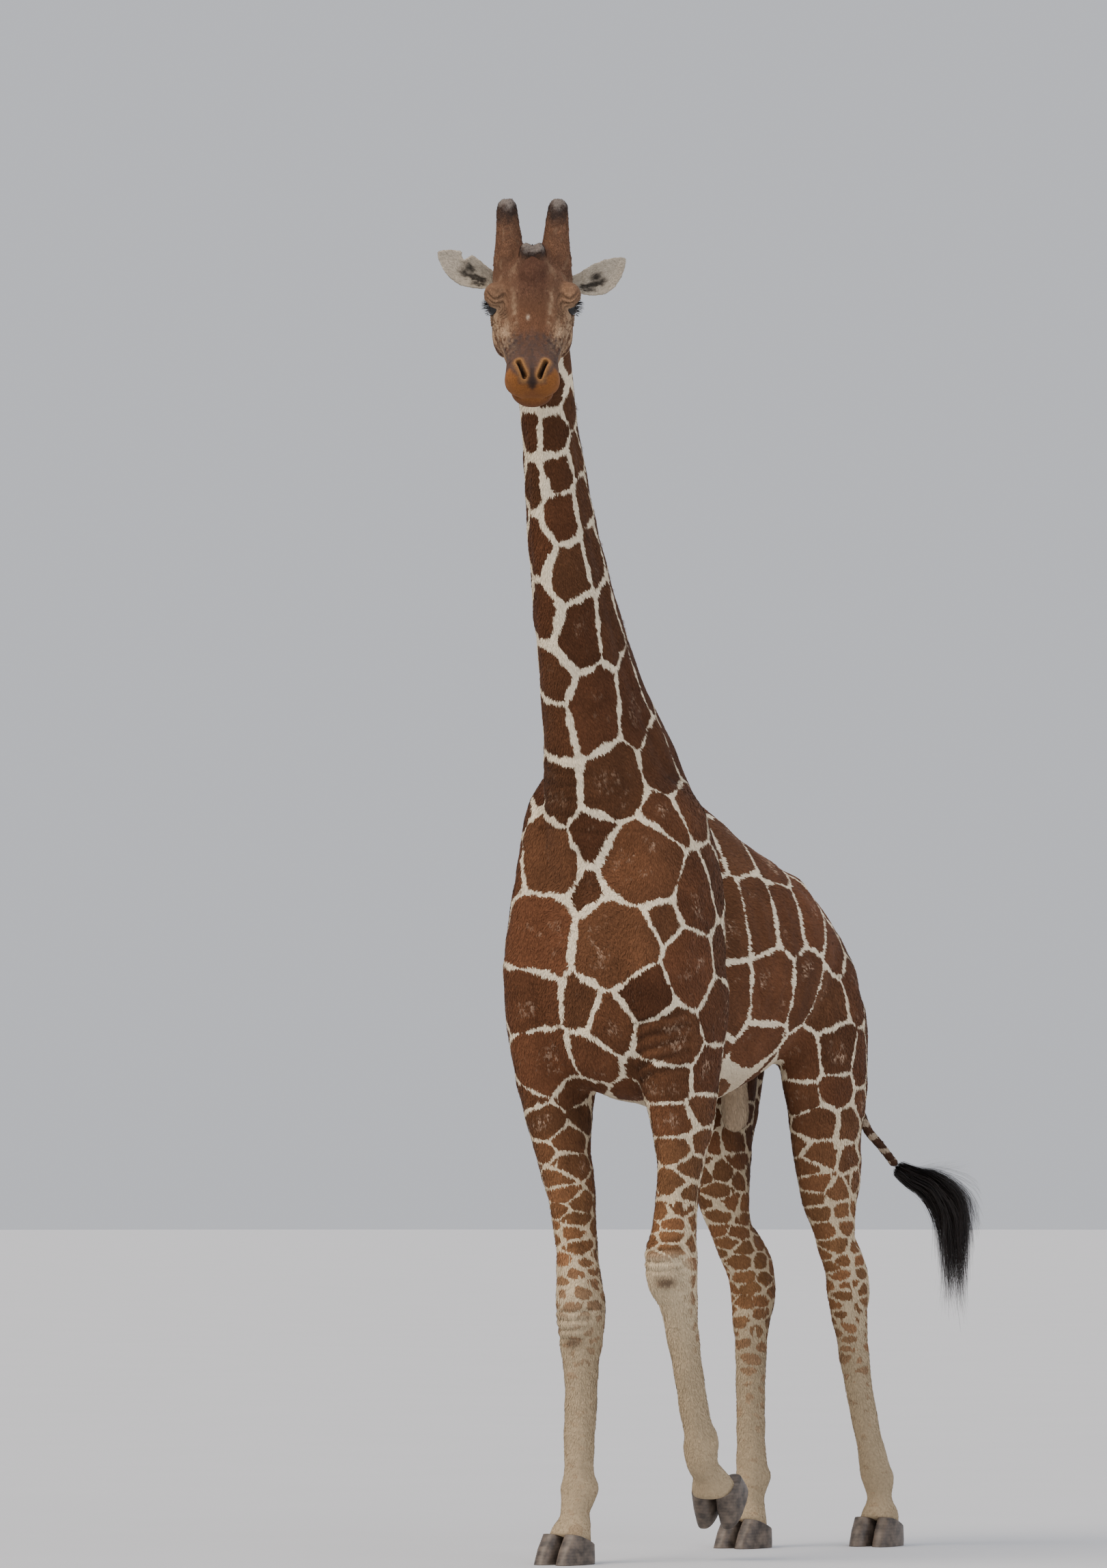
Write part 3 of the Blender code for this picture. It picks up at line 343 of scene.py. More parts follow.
def linear(code: str) -> tuple[float, float, float]:
    """Turn an sRGB hex colour into linear light.

    Args:
        code: Six hex digits.

    Returns:
        Red, green and blue from 0 to 1.
    """
    parts = [int(code[i : i + 2], 16) / 255.0 for i in (0, 2, 4)]
    return tuple(c / 12.92 if c <= 0.04045 else ((c + 0.055) / 1.055) ** 2.4 for c in parts)


def tint(code: str) -> Array:
    """The same colour as an array."""
    return np.array(linear(code))


def unit(vectors: Array) -> Array:
    """Scale vectors along the last axis to length one."""
    return vectors / np.maximum(np.linalg.norm(vectors, axis=-1, keepdims=True), 1e-12)


def smooth_step(low: float, high: float, value: Array) -> Array:
    """Zero below low, one above high, with the curve 3t^2 - 2t^3 between."""
    t = np.clip((value - low) / (high - low), 0.0, 1.0)
    return t * t * (3.0 - 2.0 * t)


def read_off(table: Rows, value: Array) -> Array:
    """Straight-line reading of a two-column table."""
    columns = np.array(table, dtype=float).T
    return np.interp(value, columns[0], columns[1])


class Surface(NamedTuple):
    """Points with the quads and triangles between them."""

    points: Array
    quads: Array
    tris: Array


def join(surfaces: Sequence[Surface]) -> Surface:
    """Put several surfaces into one, each keeping its own points."""
    starts = np.cumsum([0] + [len(surface.points) for surface in surfaces])
    return Surface(
        np.concatenate([surface.points for surface in surfaces]),
        np.concatenate([surface.quads + start for surface, start in zip(surfaces, starts)]),
        np.concatenate([surface.tris + start for surface, start in zip(surfaces, starts)]),
    )


def spline(rows: Rows, count: int) -> tuple[Array, Array]:
    """Read rows off a smooth curve: on each stretch the cubic with given ends and end slopes.

    Args:
        rows: The rows the curve goes through; the first three columns are its place.
        count: Number of readings, evenly spaced along the path.

    Returns:
        The readings and their slopes by arc length.
    """
    rows = np.array(rows, dtype=float)
    arc = np.concatenate(([0.0], np.cumsum(np.linalg.norm(np.diff(rows[:, :3], axis=0), axis=1))))
    slopes = np.zeros_like(rows)
    slopes[1:-1] = (rows[2:] - rows[:-2]) / (arc[2:] - arc[:-2])[:, None]
    slopes[0] = (rows[1] - rows[0]) / arc[1]
    slopes[-1] = (rows[-1] - rows[-2]) / (arc[-1] - arc[-2])
    along = np.linspace(0.0, arc[-1], count)
    index = np.clip(np.searchsorted(arc, along) - 1, 0, len(arc) - 2)
    width = (arc[index + 1] - arc[index])[:, None]
    t = (along - arc[index])[:, None] / width
    start, end = rows[index], rows[index + 1]
    lead, tail = slopes[index] * width, slopes[index + 1] * width
    value = (2 * t**3 - 3 * t**2 + 1) * start + (t**3 - 2 * t**2 + t) * lead
    value += (3 * t**2 - 2 * t**3) * end + (t**3 - t**2) * tail
    slope = (6 * t**2 - 6 * t) * (start - end) + (3 * t**2 - 4 * t + 1) * lead
    slope += (3 * t**2 - 2 * t) * tail
    return value, slope / width


def path_axes(slope: Array, front: Array) -> tuple[Array, Array, Array]:
    """Unit vectors along a path, to its front, and across, at each reading."""
    tangent = unit(slope[:, :3])
    toward = np.tile(np.asarray(front, dtype=float), (len(tangent), 1))
    toward -= (toward * tangent).sum(axis=1)[:, None] * tangent
    toward = unit(toward)
    return tangent, toward, np.cross(tangent, toward)


def grid_quads(index: Array) -> Array:
    """The quads between a grid's points, given the points' numbers."""
    corners = (index[:-1, :-1], index[:-1, 1:], index[1:, 1:], index[1:, :-1])
    return np.stack(corners, axis=-1).reshape(-1, 4)


def tube(rings: Array) -> Surface:
    """Close a stack of rings into a tube, with a fan of triangles at either end.

    Args:
        rings: Points, ring by ring, as (rings, sides, 3).

    Returns:
        The closed surface.
    """
    count, sides = rings.shape[:2]
    grid = np.arange(count * sides).reshape(count, sides)
    first, last = count * sides, count * sides + 1
    lower = np.stack((np.roll(grid[0], -1), grid[0], np.full(sides, first)), axis=-1)
    upper = np.stack((grid[-1], np.roll(grid[-1], -1), np.full(sides, last)), axis=-1)
    quads = grid_quads(np.concatenate((grid, grid[:, :1]), axis=1))
    points = np.concatenate((rings.reshape(-1, 3), [rings[0].mean(axis=0), rings[-1].mean(axis=0)]))
    return Surface(points, quads, np.concatenate((lower, upper)))


def bent(value: Array, power: Array) -> Array:
    """A number's size to a power, with its sign."""
    return np.sign(value) * np.abs(value) ** power


def loft(rows: Rows, front: Array, count: int, sides: int) -> Surface:
    """Carry superellipse sections along a path.

    A point of a section is the middle, plus across times a signed power of the cosine, plus
    toward times a signed power of the sine, each by its half size.

    Args:
        rows: Sections of the limb.
        front: Direction that the front half depth is measured in.
        count: Number of rings.
        sides: Points round a ring.

    Returns:
        A closed tube.
    """
    value, slope = spline(rows, count)
    _tangent, toward, across = path_axes(slope, front)
    angle = np.linspace(0.0, TAU, sides, endpoint=False)
    cosine, sine = np.cos(angle), np.sin(angle)
    power = (2.0 / value[:, 6])[:, None]
    side = value[:, 3][:, None] * bent(cosine, power)
    depth = np.where(sine > 0.0, value[:, 4][:, None], value[:, 5][:, None]) * bent(sine, power)
    middle = value[:, None, :3]
    return tube(middle + side[..., None] * across[:, None] + depth[..., None] * toward[:, None])


def ball(centre: Array, axes: Array, sizes: Sequence[float], rings: int = 24) -> Surface:
    """An ellipsoid: latitude and longitude circles scaled along three axes."""
    height = np.linspace(-0.5, 0.5, rings)[1:-1] * math.pi
    turn = np.linspace(0.0, TAU, 2 * rings, endpoint=False)
    x = np.cos(height)[:, None] * np.cos(turn)[None]
    y = np.cos(height)[:, None] * np.sin(turn)[None]
    z = np.sin(height)[:, None] * np.ones_like(turn)[None]
    local = np.stack((x, y, z), axis=-1) * np.array(sizes)
    return tube(np.asarray(centre) + local @ np.asarray(axes))


def shell(grid: Array, thickness: float) -> Surface:
    """Thicken a grid of points into a closed shell, half its thickness to either side."""
    along = np.gradient(grid, axis=0)
    across = np.gradient(grid, axis=1)
    normal = unit(np.cross(along, across))
    outer, inner = grid + normal * thickness / 2.0, grid - normal * thickness / 2.0
    rows, columns = grid.shape[:2]
    index = np.arange(rows * columns).reshape(rows, columns)
    top = grid_quads(index)[:, (0, 3, 2, 1)]
    bottom = top[:, ::-1] + rows * columns
    rim = np.concatenate((index[0], index[1:, -1], index[-1, -2::-1], index[-2:0:-1, 0]))
    after = np.roll(rim, -1)
    wall = np.stack((rim, after, after + rows * columns, rim + rows * columns), -1)
    points = np.concatenate((outer.reshape(-1, 3), inner.reshape(-1, 3)))
    return Surface(points, np.concatenate((top, bottom, wall)), np.zeros((0, 3), dtype=int))


@dataclass(frozen=True)
class Frame:
    """A frame of three axes: along the nose, up over the brow, across to the left."""

    centre: Array
    axes: Array

    def place(self, local: Array) -> Array:
        """Points of the frame in the animal's own frame."""
        return self.centre + np.asarray(local, dtype=float) @ self.axes

    def local(self, points: Array) -> Array:
        """The animal's points in this frame."""
        return (np.asarray(points) - self.centre) @ self.axes.T


def head_frame() -> Frame:
    """The head's frame: yawed to the left, the nose dropped below the level."""
    facing = np.array((math.sin(HEAD_YAW), -math.cos(HEAD_YAW), 0.0))
    along = facing * math.cos(HEAD_DROP) - SKY * math.sin(HEAD_DROP)
    over = facing * math.sin(HEAD_DROP) + SKY * math.cos(HEAD_DROP)
    across = np.array((math.cos(HEAD_YAW), math.sin(HEAD_YAW), 0.0))
    return Frame(HEAD_CENTRE, np.array((along, over, across)))


HEAD = head_frame()


def in_head(rows: Rows, side: float = 1.0) -> list[tuple[float, ...]]:
    """Rows of along, up, across and more, with their places put into the animal's frame."""
    return [(*HEAD.place((row[0], row[1], side * row[2])), *row[3:]) for row in rows]


def foot_frame(sole: Sequence[float], yaw: float, pitch: float) -> Frame:
    """A foot's frame: across, back and up, turned about up and then tipped toe down."""
    turn, tip = math.radians(yaw), math.radians(pitch)
    across = np.array((math.cos(turn), math.sin(turn), 0.0))
    level = np.array((-math.sin(turn), math.cos(turn), 0.0))
    back = level * math.cos(tip) + SKY * math.sin(tip)
    return Frame(np.array(sole),
                 np.array((across, back, SKY * math.cos(tip) - level * math.sin(tip))))


@dataclass(frozen=True)
class Limb:
    """A length of the body: its sections, its front and which way the hair lies on it."""

    name: str
    rows: Rows
    front: Array
    rings: int
    sides: int
    hair: float = 1.0

    def surface(self) -> Surface:
        """The limb as a closed tube."""
        return loft(self.rows, self.front, self.rings, self.sides)

    def level(self, heights: Array) -> Array:
        """Sections of an upright limb read off at given heights."""
        value, _slope = spline(self.rows, 240)
        order = np.argsort(value[:, 2])
        return np.stack(
            [np.interp(heights, value[order, 2], value[order, i]) for i in range(7)], -1
        )

    def around(self, height: Array, degrees: Array) -> Array:
        """Points on an upright limb: angle 0 is its front, 90 its left side."""
        row = self.level(np.asarray(height, dtype=float))
        angle = np.radians(np.asarray(degrees, dtype=float))
        reach = np.where(np.cos(angle) > 0.0, row[..., 4], row[..., 5])
        step = np.stack(
            (np.sin(angle) * row[..., 3], -np.cos(angle) * reach, np.zeros_like(reach)), -1
        )
        return row[..., :3] + step


LIMBS = {
    "trunk": Limb("trunk", TRUNK, SKY, 130, 96),
    "neck": Limb("neck", NECK, FRONT, 150, 80, -1.0),
    "fore_right": Limb("fore_right", FORE_RIGHT, FRONT, 170, 44),
    "fore_left": Limb("fore_left", FORE_LEFT, FRONT, 170, 44),
    "hind_right": Limb("hind_right", HIND_RIGHT, FRONT, 170, 44),
    "hind_left": Limb("hind_left", HIND_LEFT, FRONT, 170, 44),
    "scrotum": Limb("scrotum", SCROTUM, FRONT, 24, 24),
    "tail": Limb("tail", TAIL, FRONT * -1.0, 60, 20),
}
FEET = {
    "fore_right": foot_frame((-0.115, 0.115, 0.0), -4.0, 0.0),
    "fore_left": foot_frame((0.270, 0.662, 0.222), 4.0, 52.0),
    "hind_right": foot_frame((-0.120, 1.550, 0.0), -5.0, 0.0),
    "hind_left": foot_frame((0.268, 1.950, 0.0), 5.0, 0.0),
}
KNEES = {"fore_right": 0.955, "fore_left": 1.135, "hind_right": 1.05, "hind_left": 1.05}
# Heights of the skin's creases on the two front knees.
KNEE_CREASES = {"fore_left": (1.135, 1.168, 1.212, 1.245),
                "fore_right": (0.868, 0.905, 0.940, 0.972)}


# ------------------------------------------------------------------ meshes and modifiers
def model_shift() -> Array:
    """From the animal's own frame to the model's, found from the two eyes."""
    middles = [np.mean(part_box(name), axis=0) for name in ("eye_left", "eye_right")]
    return np.mean(middles, axis=0) - HEAD_CENTRE


def new_object(name: str, surface: Surface, shift: Array | None = None) -> bpy.types.Object:
    """Make a mesh object of a surface.

    Args:
        name: The piece's name.
        surface: Its points and faces.
        shift: Moves the points, for a piece that is to stay in the model.

    Returns:
        The object, linked to the scene, at the origin.
    """
    points = surface.points if shift is None else surface.points + shift
    data = bpy.data.meshes.new(name)
    data.vertices.add(len(points))
    data.vertices.foreach_set("co", np.ascontiguousarray(points, dtype=np.float32).ravel())
    corners = np.concatenate((surface.quads.ravel(), surface.tris.ravel())).astype(np.int32)
    sizes = np.concatenate((np.full(len(surface.quads), 4), np.full(len(surface.tris), 3)))
    data.loops.add(len(corners))
    data.loops.foreach_set("vertex_index", corners)
    data.polygons.add(len(sizes))
    starts = np.concatenate(([0], np.cumsum(sizes)[:-1])).astype(np.int32)
    data.polygons.foreach_set("loop_start", starts)
    data.polygons.foreach_set("use_smooth", np.ones(len(sizes), dtype=bool))
    data.update(calc_edges=True)
    data.validate()
    obj = bpy.data.objects.new(name, data)
    bpy.context.scene.collection.objects.link(obj)
    return obj


@contextmanager
def editing(obj: bpy.types.Object) -> Iterator[bmesh.types.BMesh]:
    """An object's mesh for editing; it is written back at the end."""
    mesh = bmesh.new()
    mesh.from_mesh(obj.data)
    yield mesh
    mesh.to_mesh(obj.data)
    mesh.free()


def cut_mesh(mesh: bmesh.types.BMesh, geom: list, plane: tuple[Array, Array],
             close: bool = False, **clear: bool) -> None:
    """Cut a mesh with a plane and clear one side.

    Args:
        mesh: The mesh.
        geom: The part of it that is cut.
        plane: A point of the plane and its normal.
        close: Fill the rim with one flat face.
        clear: clear_inner or clear_outer.
    """
    done = bmesh.ops.bisect_plane(
        mesh, geom=geom, dist=1e-6, plane_co=plane[0], plane_no=plane[1], **clear
    )
    if close:
        rim = [item for item in done["geom_cut"] if isinstance(item, bmesh.types.BMEdge)]
        bmesh.ops.holes_fill(mesh, edges=rim, sides=0)


def split_faces(mesh: bmesh.types.BMesh, corners: int) -> None:
    """Cut faces of more than that many corners into triangles."""
    large = [face for face in mesh.faces if len(face.verts) > corners]
    bmesh.ops.triangulate(mesh, faces=large)


def settle(obj: bpy.types.Object) -> bpy.types.Object:
    """Apply an object's modifiers."""
    bpy.context.view_layer.update()
    graph = bpy.context.evaluated_depsgraph_get()
    data = bpy.data.meshes.new_from_object(obj.evaluated_get(graph))
    obj.modifiers.clear()
    old = obj.data
    obj.data = data
    bpy.data.meshes.remove(old)
    return obj


def melt(obj: bpy.types.Object, voxel: float) -> bpy.types.Object:
    """Melt overlapping closed shapes into one skin."""
    remesh = obj.modifiers.new("melt", "REMESH")
    remesh.mode = "VOXEL"
    remesh.voxel_size = voxel
    return settle(obj)


def soften(obj: bpy.types.Object, rounds: int,
           share: Callable[[Array], Array] | None = None) -> bpy.types.Object:
    """Soften joins: each round moves a point half way to the mean of its neighbours.

    Args:
        obj: The skin.
        rounds: Number of rounds.
        share: Gives how much of the move each point takes; all of it if left out.

    Returns:
        The same object.
    """
    smooth = obj.modifiers.new("soften", "SMOOTH")
    smooth.factor = 0.5
    smooth.iterations = rounds
    before, _normals = read_points(obj)
    settle(obj)
    if share is not None:
        after, _normals = read_points(obj)
        write_points(obj, before + (after - before) * share(before)[:, None])
    return obj


def thin_out(obj: bpy.types.Object, faces: int) -> bpy.types.Object:
    """Collapse edges where the skin is flattest until about that many triangles are left."""
    obj.data.calc_loop_triangles()
    have = len(obj.data.loop_triangles)
    if have > faces:
        reduce = obj.modifiers.new("thin_out", "DECIMATE")
        reduce.ratio = faces / have
        reduce.use_collapse_triangulate = True
        settle(obj)
    return obj


def read_points(obj: bpy.types.Object) -> tuple[Array, Array]:
    """Places and normals of an object's vertices."""
    count = len(obj.data.vertices)
    points = np.empty(count * 3, dtype=np.float32)
    normals = np.empty(count * 3, dtype=np.float32)
    obj.data.vertices.foreach_get("co", points)
    obj.data.vertex_normals.foreach_get("vector", normals)
    return points.reshape(-1, 3).astype(float), normals.reshape(-1, 3).astype(float)


def write_points(obj: bpy.types.Object, points: Array) -> None:
    """Move an object's vertices."""
    obj.data.vertices.foreach_set("co", np.ascontiguousarray(points, dtype=np.float32).ravel())
    obj.data.update()


def to_path(points: Array, path: Array) -> Array:
    """Distance of each point to a broken line: the least over its stretches."""
    best = np.full(len(points), np.inf)
    for start, end in zip(path[:-1], path[1:]):
        run = end - start
        share = np.clip((points - start) @ run / max(run @ run, 1e-12), 0.0, 1.0)
        best = np.minimum(best, np.linalg.norm(points - start - share[:, None] * run, axis=1))
    return best


@dataclass(frozen=True)
class Relief:
    """A ridge, or with a negative height a groove, along a line on the skin."""

    path: Sequence[Sequence[float]]
    width: float
    height: float

    def rise(self, points: Array) -> Array:
        """Height over the skin: exp of minus the square of distance by width."""
        path = np.array(self.path, dtype=float)
        if len(path) == 1:
            path = np.repeat(path, 2, axis=0)
        out = np.zeros(len(points))
        near = np.linalg.norm(points - path.mean(axis=0), axis=1)
        reach = np.linalg.norm(path - path.mean(axis=0), axis=1).max() + 3.2 * self.width
        chosen = near < reach
        out[chosen] = self.height * np.exp(-((to_path(points[chosen], path) / self.width) ** 2))
        return out


def ripple(points: Array, size: float, seed: int, waves: int = 9) -> Array:
    """A smooth random field from -1 to 1: the mean of plane waves of about one length."""
    rng = np.random.default_rng(seed)
    turn = unit(rng.normal(size=(waves, 3)))
    pitch = TAU / (size * rng.uniform(0.7, 1.5, waves))
    phase = rng.uniform(0.0, TAU, waves)
    return np.sin(points @ (turn * pitch[:, None]).T + phase).sum(axis=1) / math.sqrt(waves)


# ------------------------------------------------------------------ the body's skin
# Ridges and grooves of a leg: spots as rise over the knee or hock and angle from the front, then
# width and height; first those that are made on both sides, then those that are made once.
CANNON_RELIEFS = (
    (((-0.16, 128.0), (-0.35, 125.0), (-0.62, 128.0)), 0.014, -0.005),
    (((-0.70, 95.0),), 0.030, 0.006),
)
SIDE_RELIEFS = {
    "fore": (
        *CANNON_RELIEFS,
        (((0.0, 88.0),), 0.036, 0.007),
        (((0.62, 118.0), (0.16, 122.0)), 0.022, -0.009),
        (((0.60, 52.0), (0.20, 66.0)), 0.020, -0.006),
        (((0.52, 85.0),), 0.080, 0.010),
    ),
    "hind": (
        *CANNON_RELIEFS,
        (((0.17, 140.0), (0.30, 142.0)), 0.034, -0.016),
        (((0.01, 90.0),), 0.034, 0.006),
        (((1.15, 128.0), (0.55, 138.0)), 0.034, -0.012),
    ),
}
MIDDLE_RELIEFS = {
    "fore": (
        (((-0.71, 180.0),), 0.030, 0.009),
        (((0.045, 0.0),), 0.048, 0.007),
        (((-0.060, -16.0), (-0.060, 16.0)), 0.022, 0.007),
        (((0.045, 180.0),), 0.034, 0.014),
        (((0.72, 180.0),), 0.060, 0.015),
    ),
    "hind": (
        (((-0.71, 180.0),), 0.030, 0.009),
        (((0.075, 180.0),), 0.030, 0.014),
        (((0.80, 12.0),), 0.075, 0.014),
        (((0.02, -30.0), (0.01, 0.0), (0.02, 30.0)), 0.012, -0.005),
    ),
}
# The same on the trunk, as x, y, z; those off the middle line are made on both sides.
TRUNK_RELIEFS = (
    (((0.0, -0.03, 2.70), (0.0, 0.0, 2.40), (0.0, 0.03, 2.06)), 0.032, -0.020),
    (((0.0, 0.62, 2.97), (0.0, 1.20, 2.78), (0.0, 1.74, 2.52)), 0.030, 0.010),
    (((0.27, 0.03, 2.26),), 0.090, 0.020),
    (((0.30, 0.63, 2.80), (0.35, 0.60, 2.45), (0.37, 0.58, 2.05)), 0.055, -0.026),
    (((0.34, 0.45, 2.16),), 0.100, 0.020),
    (((0.36, 0.30, 2.62), (0.37, 0.16, 2.33)), 0.045, 0.010),
    (((0.30, 0.10, 2.60), (0.34, 0.09, 2.30)), 0.035, -0.009),
    (((0.22, 1.38, 2.63),), 0.070, 0.016),
    (((0.34, 1.18, 2.42),), 0.110, -0.020),
    (((0.34, 1.10, 1.98), (0.30, 1.26, 1.80)), 0.034, 0.016),
    (((0.33, 1.72, 2.36),), 0.070, 0.010),
)


def knee_folds(name: str) -> list[Relief]:
    """Creases across the front of a knee, sagging by 10 mm in the middle."""
    span = np.linspace(-62.0, 62.0, 9)
    out = []
    for height in KNEE_CREASES[name]:
        level = height - 0.010 * np.cos(np.radians(span * 1.4))
        out.append(Relief(LIMBS[name].around(level, span), 0.0085, -0.010))
    return out


def leg_reliefs(name: str) -> list[Relief]:
    """Knee, hock, tendons and fetlock of one leg."""
    kind = name[:4]
    rows = [(row, side) for row in SIDE_RELIEFS[kind] for side in (-1.0, 1.0)]
    rows += [(row, 1.0) for row in MIDDLE_RELIEFS[kind]]
    out = knee_folds(name) if kind == "fore" else []
    for (spots, width, height), side in rows:
        rise, angle = np.array(spots).T
        line = LIMBS[name].around(KNEES[name] + rise, angle * side)
        out.append(Relief(line, width, height))
    return out


def trunk_reliefs() -> list[Relief]:
    """Chest line, shoulders, flanks, ribs, spine and the big muscles of the neck."""
    neck = LIMBS["neck"]
    out = []
    ribs = tuple(
        (((0.33, rib, 2.62), (0.37, rib + 0.05, 2.30), (0.33, rib + 0.02, 2.02)), 0.022, 0.0045)
        for rib in np.arange(0.74, 1.12, 0.095)
    )
    for spots, width, height in TRUNK_RELIEFS + ribs:
        for side in (-1.0, 1.0) if spots[0][0] else (1.0,):
            out.append(Relief(np.array(spots) * (side, 1.0, 1.0), width, height))
    heights = np.linspace(3.0, 4.3, 6)
    for degrees, width, height in ((34.0, 0.028, -0.008), (100.0, 0.040, -0.010)):
        for side in (-1.0, 1.0):
            line = neck.around(heights, np.full(6, degrees * side))
            out.append(Relief(line, width, height))
    return out + soft_folds()


def soft_folds() -> list[Relief]:
    """Folds where the left arm swings forward, and across the base of the throat."""
    arm, neck = LIMBS["fore_left"], LIMBS["neck"]
    out = []
    for height in (2.075, 2.020, 1.970, 1.920, 1.872):
        span = np.linspace(-38.0, 58.0, 7)
        out.append(Relief(arm.around(height + 0.0007 * span, span), 0.014, -0.013))
    for height in (2.80, 2.86, 2.915, 2.97, 3.02, 3.08):
        span = np.linspace(-46.0, 30.0, 7)
        out.append(Relief(neck.around(height - 0.0004 * span, span), 0.014, -0.0055))
    return out


def feet_rise(points: Array) -> Array:
    """The shape of the feet: a bulge at the fetlock, fuller behind, and a slim pastern.

    Both are bells over the height in the foot's own frame.
    """
    out = np.zeros(len(points))
    for frame in FEET.values():
        local = frame.local(points)
        near = (
            (np.hypot(local[:, 0], local[:, 1] - 0.03) < 0.16)
            & (local[:, 2] > 0.0)
            & (local[:, 2] < 0.45)
        )
        height = local[near, 2]
        behind = smooth_step(0.02, 0.09, local[near, 1])
        bulge = (0.004 + 0.010 * behind) * np.exp(-(((height - 0.285) / 0.034) ** 2))
        out[near] += bulge - 0.014 * np.exp(-(((height - 0.190) / 0.040) ** 2))
    return out


@dataclass
class BodySkin:
    """Trunk, neck, legs and tail in one skin."""

    voxel: float = BODY_GRID
    faces: int = BODY_FACES
    coronet: tuple = (0.128, 0.070, 0.17)   # height in front, behind, and the run between

    def build(self) -> bpy.types.Object:
        """Melt the limbs together, mould them, end them at the hooves and thin them out."""
        obj = new_object("body_skin", join([limb.surface() for limb in LIMBS.values()]))
        melt(obj, self.voxel)
        soften(obj, JOIN_ROUNDS)
        soften(
            obj,
            FLESH_ROUNDS,
            lambda points: smooth_step(1.45, 1.95, points[:, 2])
            * smooth_step(4.7, 4.1, points[:, 2])
            * smooth_step(1.95, 1.80, points[:, 1]),
        )
        points, normals = read_points(obj)
        rise = np.full(len(points), -COAT_DEPTH)
        for relief in trunk_reliefs() + sum((leg_reliefs(name) for name in FEET), []):
            rise += relief.rise(points)
        rise += 0.0022 * ripple(points, 0.11, 3) + feet_rise(points)
        tail = to_path(points, np.array([(0.04, 1.99, 2.05), (0.21, 2.225, 1.52)])) < 0.06
        rise[tail] = -0.001
        write_points(obj, points + normals * rise[:, None])
        self.trim_feet(obj)
        thin_out(obj, self.faces)
        return obj

    def coronet_plane(self, frame: Frame) -> tuple[Array, Array]:
        """The sloping plane where hair gives way to hoof: a point and the way up."""
        front, back, run = self.coronet
        normal = unit(np.array((0.0, (front - back) / run, 1.0)))
        return frame.place((0.0, 0.0, (front + back) / 2.0)), normal @ frame.axes

    def trim_feet(self, obj: bpy.types.Object) -> None:
        """End the skin at the top of each hoof, closed with a flat face."""
        with editing(obj) as mesh:
            for frame in FEET.values():
                centre = Vector(frame.place((0.0, -0.01, 0.06)))
                faces = [face for face in mesh.faces
                         if (face.calc_center_median() - centre).length < 0.21]
                edges = dict.fromkeys(edge for face in faces for edge in face.edges)
                verts = dict.fromkeys(vert for face in faces for vert in face.verts)
                cut_mesh(mesh, [*verts, *edges, *faces], self.coronet_plane(frame), True,
                         clear_inner=True)
            split_faces(mesh, 4)


# ------------------------------------------------------------------ the head's skin
class Ear(NamedTuple):
    """An ear in the head's frame: its root, its three axes, its length and its sag."""

    root: Array
    axis: Array
    face: Array
    rise: Array
    length: float
    sag: float


def ear_of(side: float) -> Ear:
    """The ear of one side: the axis to its tip, the way its hollow faces, and the rise between."""
    root, axis, length, sag = LEFT_EAR if side > 0 else RIGHT_EAR
    axis, face = unit(np.array(axis)), np.array(EAR_FACE)
    face = unit(face - face.dot(axis) * axis)
    return Ear(np.array(root), axis, face, np.cross(axis, face), length, sag)


def ear_section(along: Array) -> tuple[Array, Array]:
    """Half width of an ear and the depth of its cup for that, by share of the length."""
    shape = np.array(EAR_SECTIONS)
    return np.interp(along, shape[:, 0], shape[:, 1]), np.interp(along, shape[:, 0], shape[:, 2])


def ear_grid(side: float, rows: int = 70, columns: int = 34) -> Array:
    """The hollow of an ear, root to tip, in the head's frame.

    A point is the root, plus the axis by its share of the length, plus the rise by its place
    across the leaf less the sag, less the face by the depth of the cup times 1 - across^2.

    Args:
        side: 1 for the left ear, -1 for the right, whose upper edge is torn.
        rows: Points along the ear.
        columns: Points across it.

    Returns:
        A grid of points.
    """
    ear = ear_of(side)
    along = np.linspace(0.0, 1.0, rows)
    half, cup = ear_section(along)
    half = half - 0.0035
    across = np.linspace(-1.0, 1.0, columns)
    edge = half[:, None] * across[None, :]
    if side < 0:
        place, reach, depth = TORN_NOTCH
        bite = np.clip(1.5 - np.abs(along - place) / reach, 0.0, 1.0)
        bite = bite + 0.12 * np.sin(along * 160.0) * (bite > 0.05)
        edge -= depth * bite[:, None] * np.clip(across[None, :], 0.0, 1.0) ** 2
    hollow = -(cup * half)[:, None] * (1.0 - across[None, :] ** 2)
    edge -= 4.0 * ear.sag * (along * (1.0 - along))[:, None]
    points = ear.root + ear.axis * (along * (ear.length - 0.003))[:, None, None]
    points = points + edge[..., None] * ear.rise + hollow[..., None] * ear.face
    points[..., 2] *= side
    return points


NOSTRIL = np.array(((0.312, -0.010, 0.052), (0.345, -0.018, 0.042), (0.376, -0.038, 0.029)))
MOUTH = np.array((
    (0.400, -0.150, 0.0), (0.378, -0.150, 0.045), (0.325, -0.146, 0.080),
    (0.265, -0.150, 0.090), (0.215, -0.158, 0.092),
))


def nostril_gap(folded: Array) -> Array:
    """Distance to the nostril's line, seen from above the nose; far away under the lip line."""
    flat = to_path(folded * (1.0, 0.0, 1.0), NOSTRIL * (1.0, 0.0, 1.0))
    return flat + np.clip(-0.055 - folded[:, 1], 0.0, 1.0)


